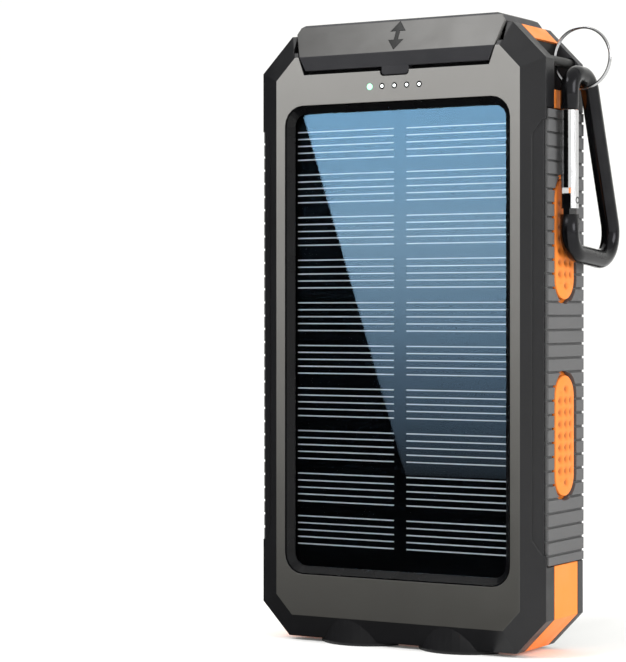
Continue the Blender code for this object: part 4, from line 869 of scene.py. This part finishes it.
class RingAndCarabiner(bpy.types.Operator):
    """Build the coiled split ring and the carabiner's bent rod, and finish the gate"""

    bl_idname = "charger.ring_and_carabiner"
    bl_label = "Ring and carabiner"

    def execute(self, context):
        self.build_ring()
        self.build_carabiner()
        paint(gate_finish(), "carabiner_gate", "gate_rivet")
        return {"FINISHED"}

    def build_ring(self):
        low, high = node_box("split_ring")
        centre = (low + high) / 2
        wire = 0.29 * MM
        radius = (high[0] - low[0]) / 2 - 0.55 * MM
        angle = np.linspace(0.25, 4 * np.pi - 0.02, 220)
        lift = 0.27 * MM * np.tanh((angle - 2 * np.pi - 0.3) / 0.25)
        path = np.stack([centre[0] + radius * np.cos(angle), centre[1] + lift,
                         centre[2] + radius * np.sin(angle)], axis=-1)
        turned = path[:, [1, 0, 2]]
        ring = closed_rod("coiled_ring", turned, wire, 14)
        ring.data.transform(Matrix(((0, 1, 0, 0), (1, 0, 0, 0), (0, 0, 1, 0), (0, 0, 0, 1))))
        turn_outward(ring)
        settle(ring, "ring", "steel", bright_metal("ring_steel", (0.42, 0.42, 0.43), 0.18), "split_ring")

    def build_carabiner(self):
        low, high = node_box("carabiner_body")
        gate_low, gate_high = node_box("carabiner_gate")
        rod = (high[0] - low[0]) / 2
        x = (high[0] + low[0]) / 2
        gate_y = (gate_low[1] + gate_high[1]) / 2
        arch = high[2] - rod
        nose_low, nose_top = gate_low[2] - 1.4 * MM, gate_high[2] + 0.3 * MM
        bottom = arch + 2 * rod - CARABINER_LENGTH
        right = gate_y + CARABINER_WIDTH - 2 * rod
        corners = [(gate_y, nose_low), (gate_y, bottom + CARABINER_TILT), (right, bottom),
                   (gate_y + CARABINER_CREST, arch), (gate_y, arch), (gate_y, nose_top)]
        parts = [np.array([corners[0]])]
        parts += [bend_points(a, b, c, r)
                  for a, b, c, r in zip(corners, corners[1:], corners[2:], CARABINER_BENDS)]
        parts.append(np.array([corners[-1]]))
        flat = np.concatenate(parts)
        path = np.concatenate([np.full((len(flat), 1), x), flat], axis=1)
        body = closed_rod("carabiner_rod", path, rod)
        turn_outward(body)
        finish = Finish("carabiner_anodised", 0.2, 0.85)
        wear = finish.noise(220.0, 5.0)
        finish.colour(finish.mix(wear, (0.006, 0.006, 0.007), (0.022, 0.022, 0.024)))
        finish.roughness(finish.ramp(wear, 0.12, 0.3, 0.3, 0.7))
        finish.bump(finish.noise(900.0, 2.0), 0.01 * MM, 0.3)
        settle(body, "carabiner", "black_aluminium", finish.material, "carabiner_body")
        y_half, x_half = 1.8 * MM, 0.8 * MM
        lows = np.array([(x - x_half, gate_y - y_half, nose_low - 0.5 * MM)])
        highs = np.array([(x + x_half, gate_y + y_half, gate_low[2] + 3.5 * MM)])
        tongue = block_grid("gate_tongue", lows, highs)
        settle(tongue, "carabiner", "black_aluminium", finish.material)


# ---------------------------------------------------------------- stage, panel and run

class Stage(bpy.types.Operator):
    """Set the pale sweep, the sky card, the soft lights and the camera"""

    bl_idname = "charger.stage"
    bl_label = "Stage"

    def execute(self, context):
        self.sweep()
        self.black_flag()
        self.sky_card()
        self.lights(context.scene)
        self.camera(context.scene)
        return {"FINISHED"}

    def sweep(self):
        """A floor that turns up into a wall: level, then a quarter circle, then upright."""
        bend = np.linspace(0, np.pi / 2, 24)
        radius, far = 1.2, 1.4
        profile = np.concatenate([[(-4.0, 0.0)], np.stack([far + radius * np.sin(bend),
                                                           radius * (1 - np.cos(bend))], axis=-1),
                                  [(far + radius, 5.0)]])
        x = np.array([-5.0, 5.0])
        points = np.zeros((len(profile), 2, 3))
        points[..., 0] = x[None]
        points[..., 1:] = profile[:, None]
        floor = grid_object("sweep", points)
        finish = Finish("pale_paper", 0.9)
        finish.colour(finish.mix(finish.noise(6.0), (0.93, 0.93, 0.92), (0.95, 0.95, 0.94)))
        finish.shader.inputs["Emission Color"].default_value = (1.0, 1.0, 0.965, 1.0)
        finish.shader.inputs["Emission Strength"].default_value = 0.07
        floor.data.materials.append(finish.material)

    def black_flag(self):
        """Black cloth to the left and on the floor before the object, seen only in glossy reflections."""
        plan = [(-0.02, -0.55), (-0.47, -0.52), (-0.60, 0.10), (-0.50, 0.60)]
        height, lift = 0.7, 0.0006
        wall = np.array([[(x, y, z) for z in (0.0, height)] for x, y in plan])
        ground = np.array([[(x, y, lift) for x in (-0.6, 0.02)] for y in (-0.55, 0.25)])
        cloth = Finish("black_cloth", 0.9)
        cloth.shader.inputs["Specular IOR Level"].default_value = 0.0
        cloth.colour(cloth.mix(cloth.noise(60.0), (0.002, 0.002, 0.002), (0.004, 0.004, 0.004)))
        for name, points in (("flag_wall", wall), ("flag_ground", ground)):
            flag = grid_object(name, points)
            flag.data.materials.append(cloth.material)
            flag.visible_camera = flag.visible_diffuse = flag.visible_shadow = False

    def sky_card(self):
        """A glowing sheet with a slanted edge, seen only in glossy reflections."""
        y, top, right = FACE_Y - 0.49, 0.26, -0.15
        left_foot, left_top = -0.283, -0.369
        corners = np.array([(left_foot, y, 0.0), (right, y, 0.0), (right, y, top), (left_top, y, top)])
        card = mesh_object("sky_card", corners, np.array([(0, 1, 2, 3)]), smooth=False)
        material = bpy.data.materials.new("sky_glow")
        material.use_nodes = True
        nodes, links = material.node_tree.nodes, material.node_tree.links
        nodes.clear()
        place = nodes.new("ShaderNodeTexCoord")
        split = nodes.new("ShaderNodeSeparateXYZ")
        links.new(place.outputs["Object"], split.inputs[0])
        height = nodes.new("ShaderNodeMapRange")
        height.inputs["From Min"].default_value = 0.0
        height.inputs["From Max"].default_value = 0.18
        links.new(split.outputs[2], height.inputs["Value"])
        sky = nodes.new("ShaderNodeValToRGB")
        sky.color_ramp.elements[0].color = (0.01, 0.013, 0.016, 1.0)
        sky.color_ramp.elements[1].color = (0.175, 0.36, 0.55, 1.0)
        for place_up, colour in ((0.28, (0.060, 0.098, 0.142, 1.0)), (0.65, (0.175, 0.30, 0.42, 1.0))):
            sky.color_ramp.elements.new(place_up).color = colour
        links.new(height.outputs["Result"], sky.inputs["Fac"])
        glow = nodes.new("ShaderNodeEmission")
        glow.inputs["Strength"].default_value = 14.0
        links.new(sky.outputs["Color"], glow.inputs["Color"])
        out = nodes.new("ShaderNodeOutputMaterial")
        links.new(glow.outputs[0], out.inputs["Surface"])
        card.data.materials.append(material)
        card.visible_camera = False
        card.visible_diffuse = False
        card.visible_shadow = False
        receivers = bpy.data.collections.new("sky_receivers")
        receivers.objects.link(NODES["solar_window"])
        receivers.objects.link(NODES["solar_panel"])
        card.light_linking.receiver_collection = receivers

    def lights(self, scene):
        """An even white world and two soft panels."""
        world = bpy.data.worlds.new("studio")
        scene.world = world
        world.use_nodes = True
        background = world.node_tree.nodes["Background"]
        background.inputs["Color"].default_value = (1.0, 1.0, 0.985, 1.0)
        background.inputs["Strength"].default_value = 0.95
        for name, place, aim, size, power in (
                ("key", (-0.6, -0.9, 1.1), (0, 0, 0.08), 0.8, 14.0),
                ("side", (1.1, -0.2, 0.5), (0, 0, 0.08), 0.6, 7.0)):
            data = bpy.data.lights.new(name, "AREA")
            data.size = size
            data.energy = power
            light = bpy.data.objects.new(name, data)
            scene.collection.objects.link(light)
            light.location = place
            light.rotation_euler = (Vector(aim) - Vector(place)).to_track_quat("-Z", "Y").to_euler()
        scene.view_settings.view_transform = "Standard"

    def camera(self, scene):
        """A long lens, level, thirty degrees round to the right of the solar face."""
        data = bpy.data.cameras.new("camera")
        camera = bpy.data.objects.new("camera", data)
        scene.collection.objects.link(camera)
        camera.location = (MID_X + 0.2708, FACE_Y - 0.4713, 0.0812)
        camera.rotation_euler = (math.radians(90), 0.0, math.radians(30))
        data.sensor_width = 36.0
        data.lens = 123.7
        data.shift_x = -0.1156
        data.shift_y = -0.0316
        data.clip_end = 20.0
        scene.camera = camera


PARTS = (HousingFinish, InnerFinish, SolarFace, IndicatorLights, GripPads, FlapMark, Lamps, Compass,
         RingAndCarabiner, Stage)


class ChargerPanel(bpy.types.Panel):
    """The charger's sizes, colours and pieces in the sidebar"""

    bl_idname = "CHARGER_PT_finish"
    bl_label = "Solar charger"
    bl_space_type = "VIEW_3D"
    bl_region_type = "UI"
    bl_category = "Charger"

    def draw(self, context):
        for group in (context.scene.charger_sizes, context.scene.charger_colours):
            for key in group.bl_rna.properties.keys():
                if key not in ("rna_type", "name"):
                    self.layout.prop(group, key)
        for part in PARTS:
            self.layout.operator(part.bl_idname)


def register():
    """Register the settings, operators and panel."""
    for group in (ChargerSizes, ChargerColours, *PARTS, ChargerPanel):
        bpy.utils.register_class(group)
    bpy.types.Scene.charger_sizes = bpy.props.PointerProperty(type=ChargerSizes)
    bpy.types.Scene.charger_colours = bpy.props.PointerProperty(type=ChargerColours)


def unregister():
    """Remove everything that register added."""
    del bpy.types.Scene.charger_sizes
    del bpy.types.Scene.charger_colours
    for group in reversed((ChargerSizes, ChargerColours, *PARTS, ChargerPanel)):
        bpy.utils.unregister_class(group)


def main():
    """Build every piece in order."""
    register()
    for part in PARTS:
        family, action = part.bl_idname.split(".")
        getattr(getattr(bpy.ops, family), action)()


if __name__ == "__main__":
    main()
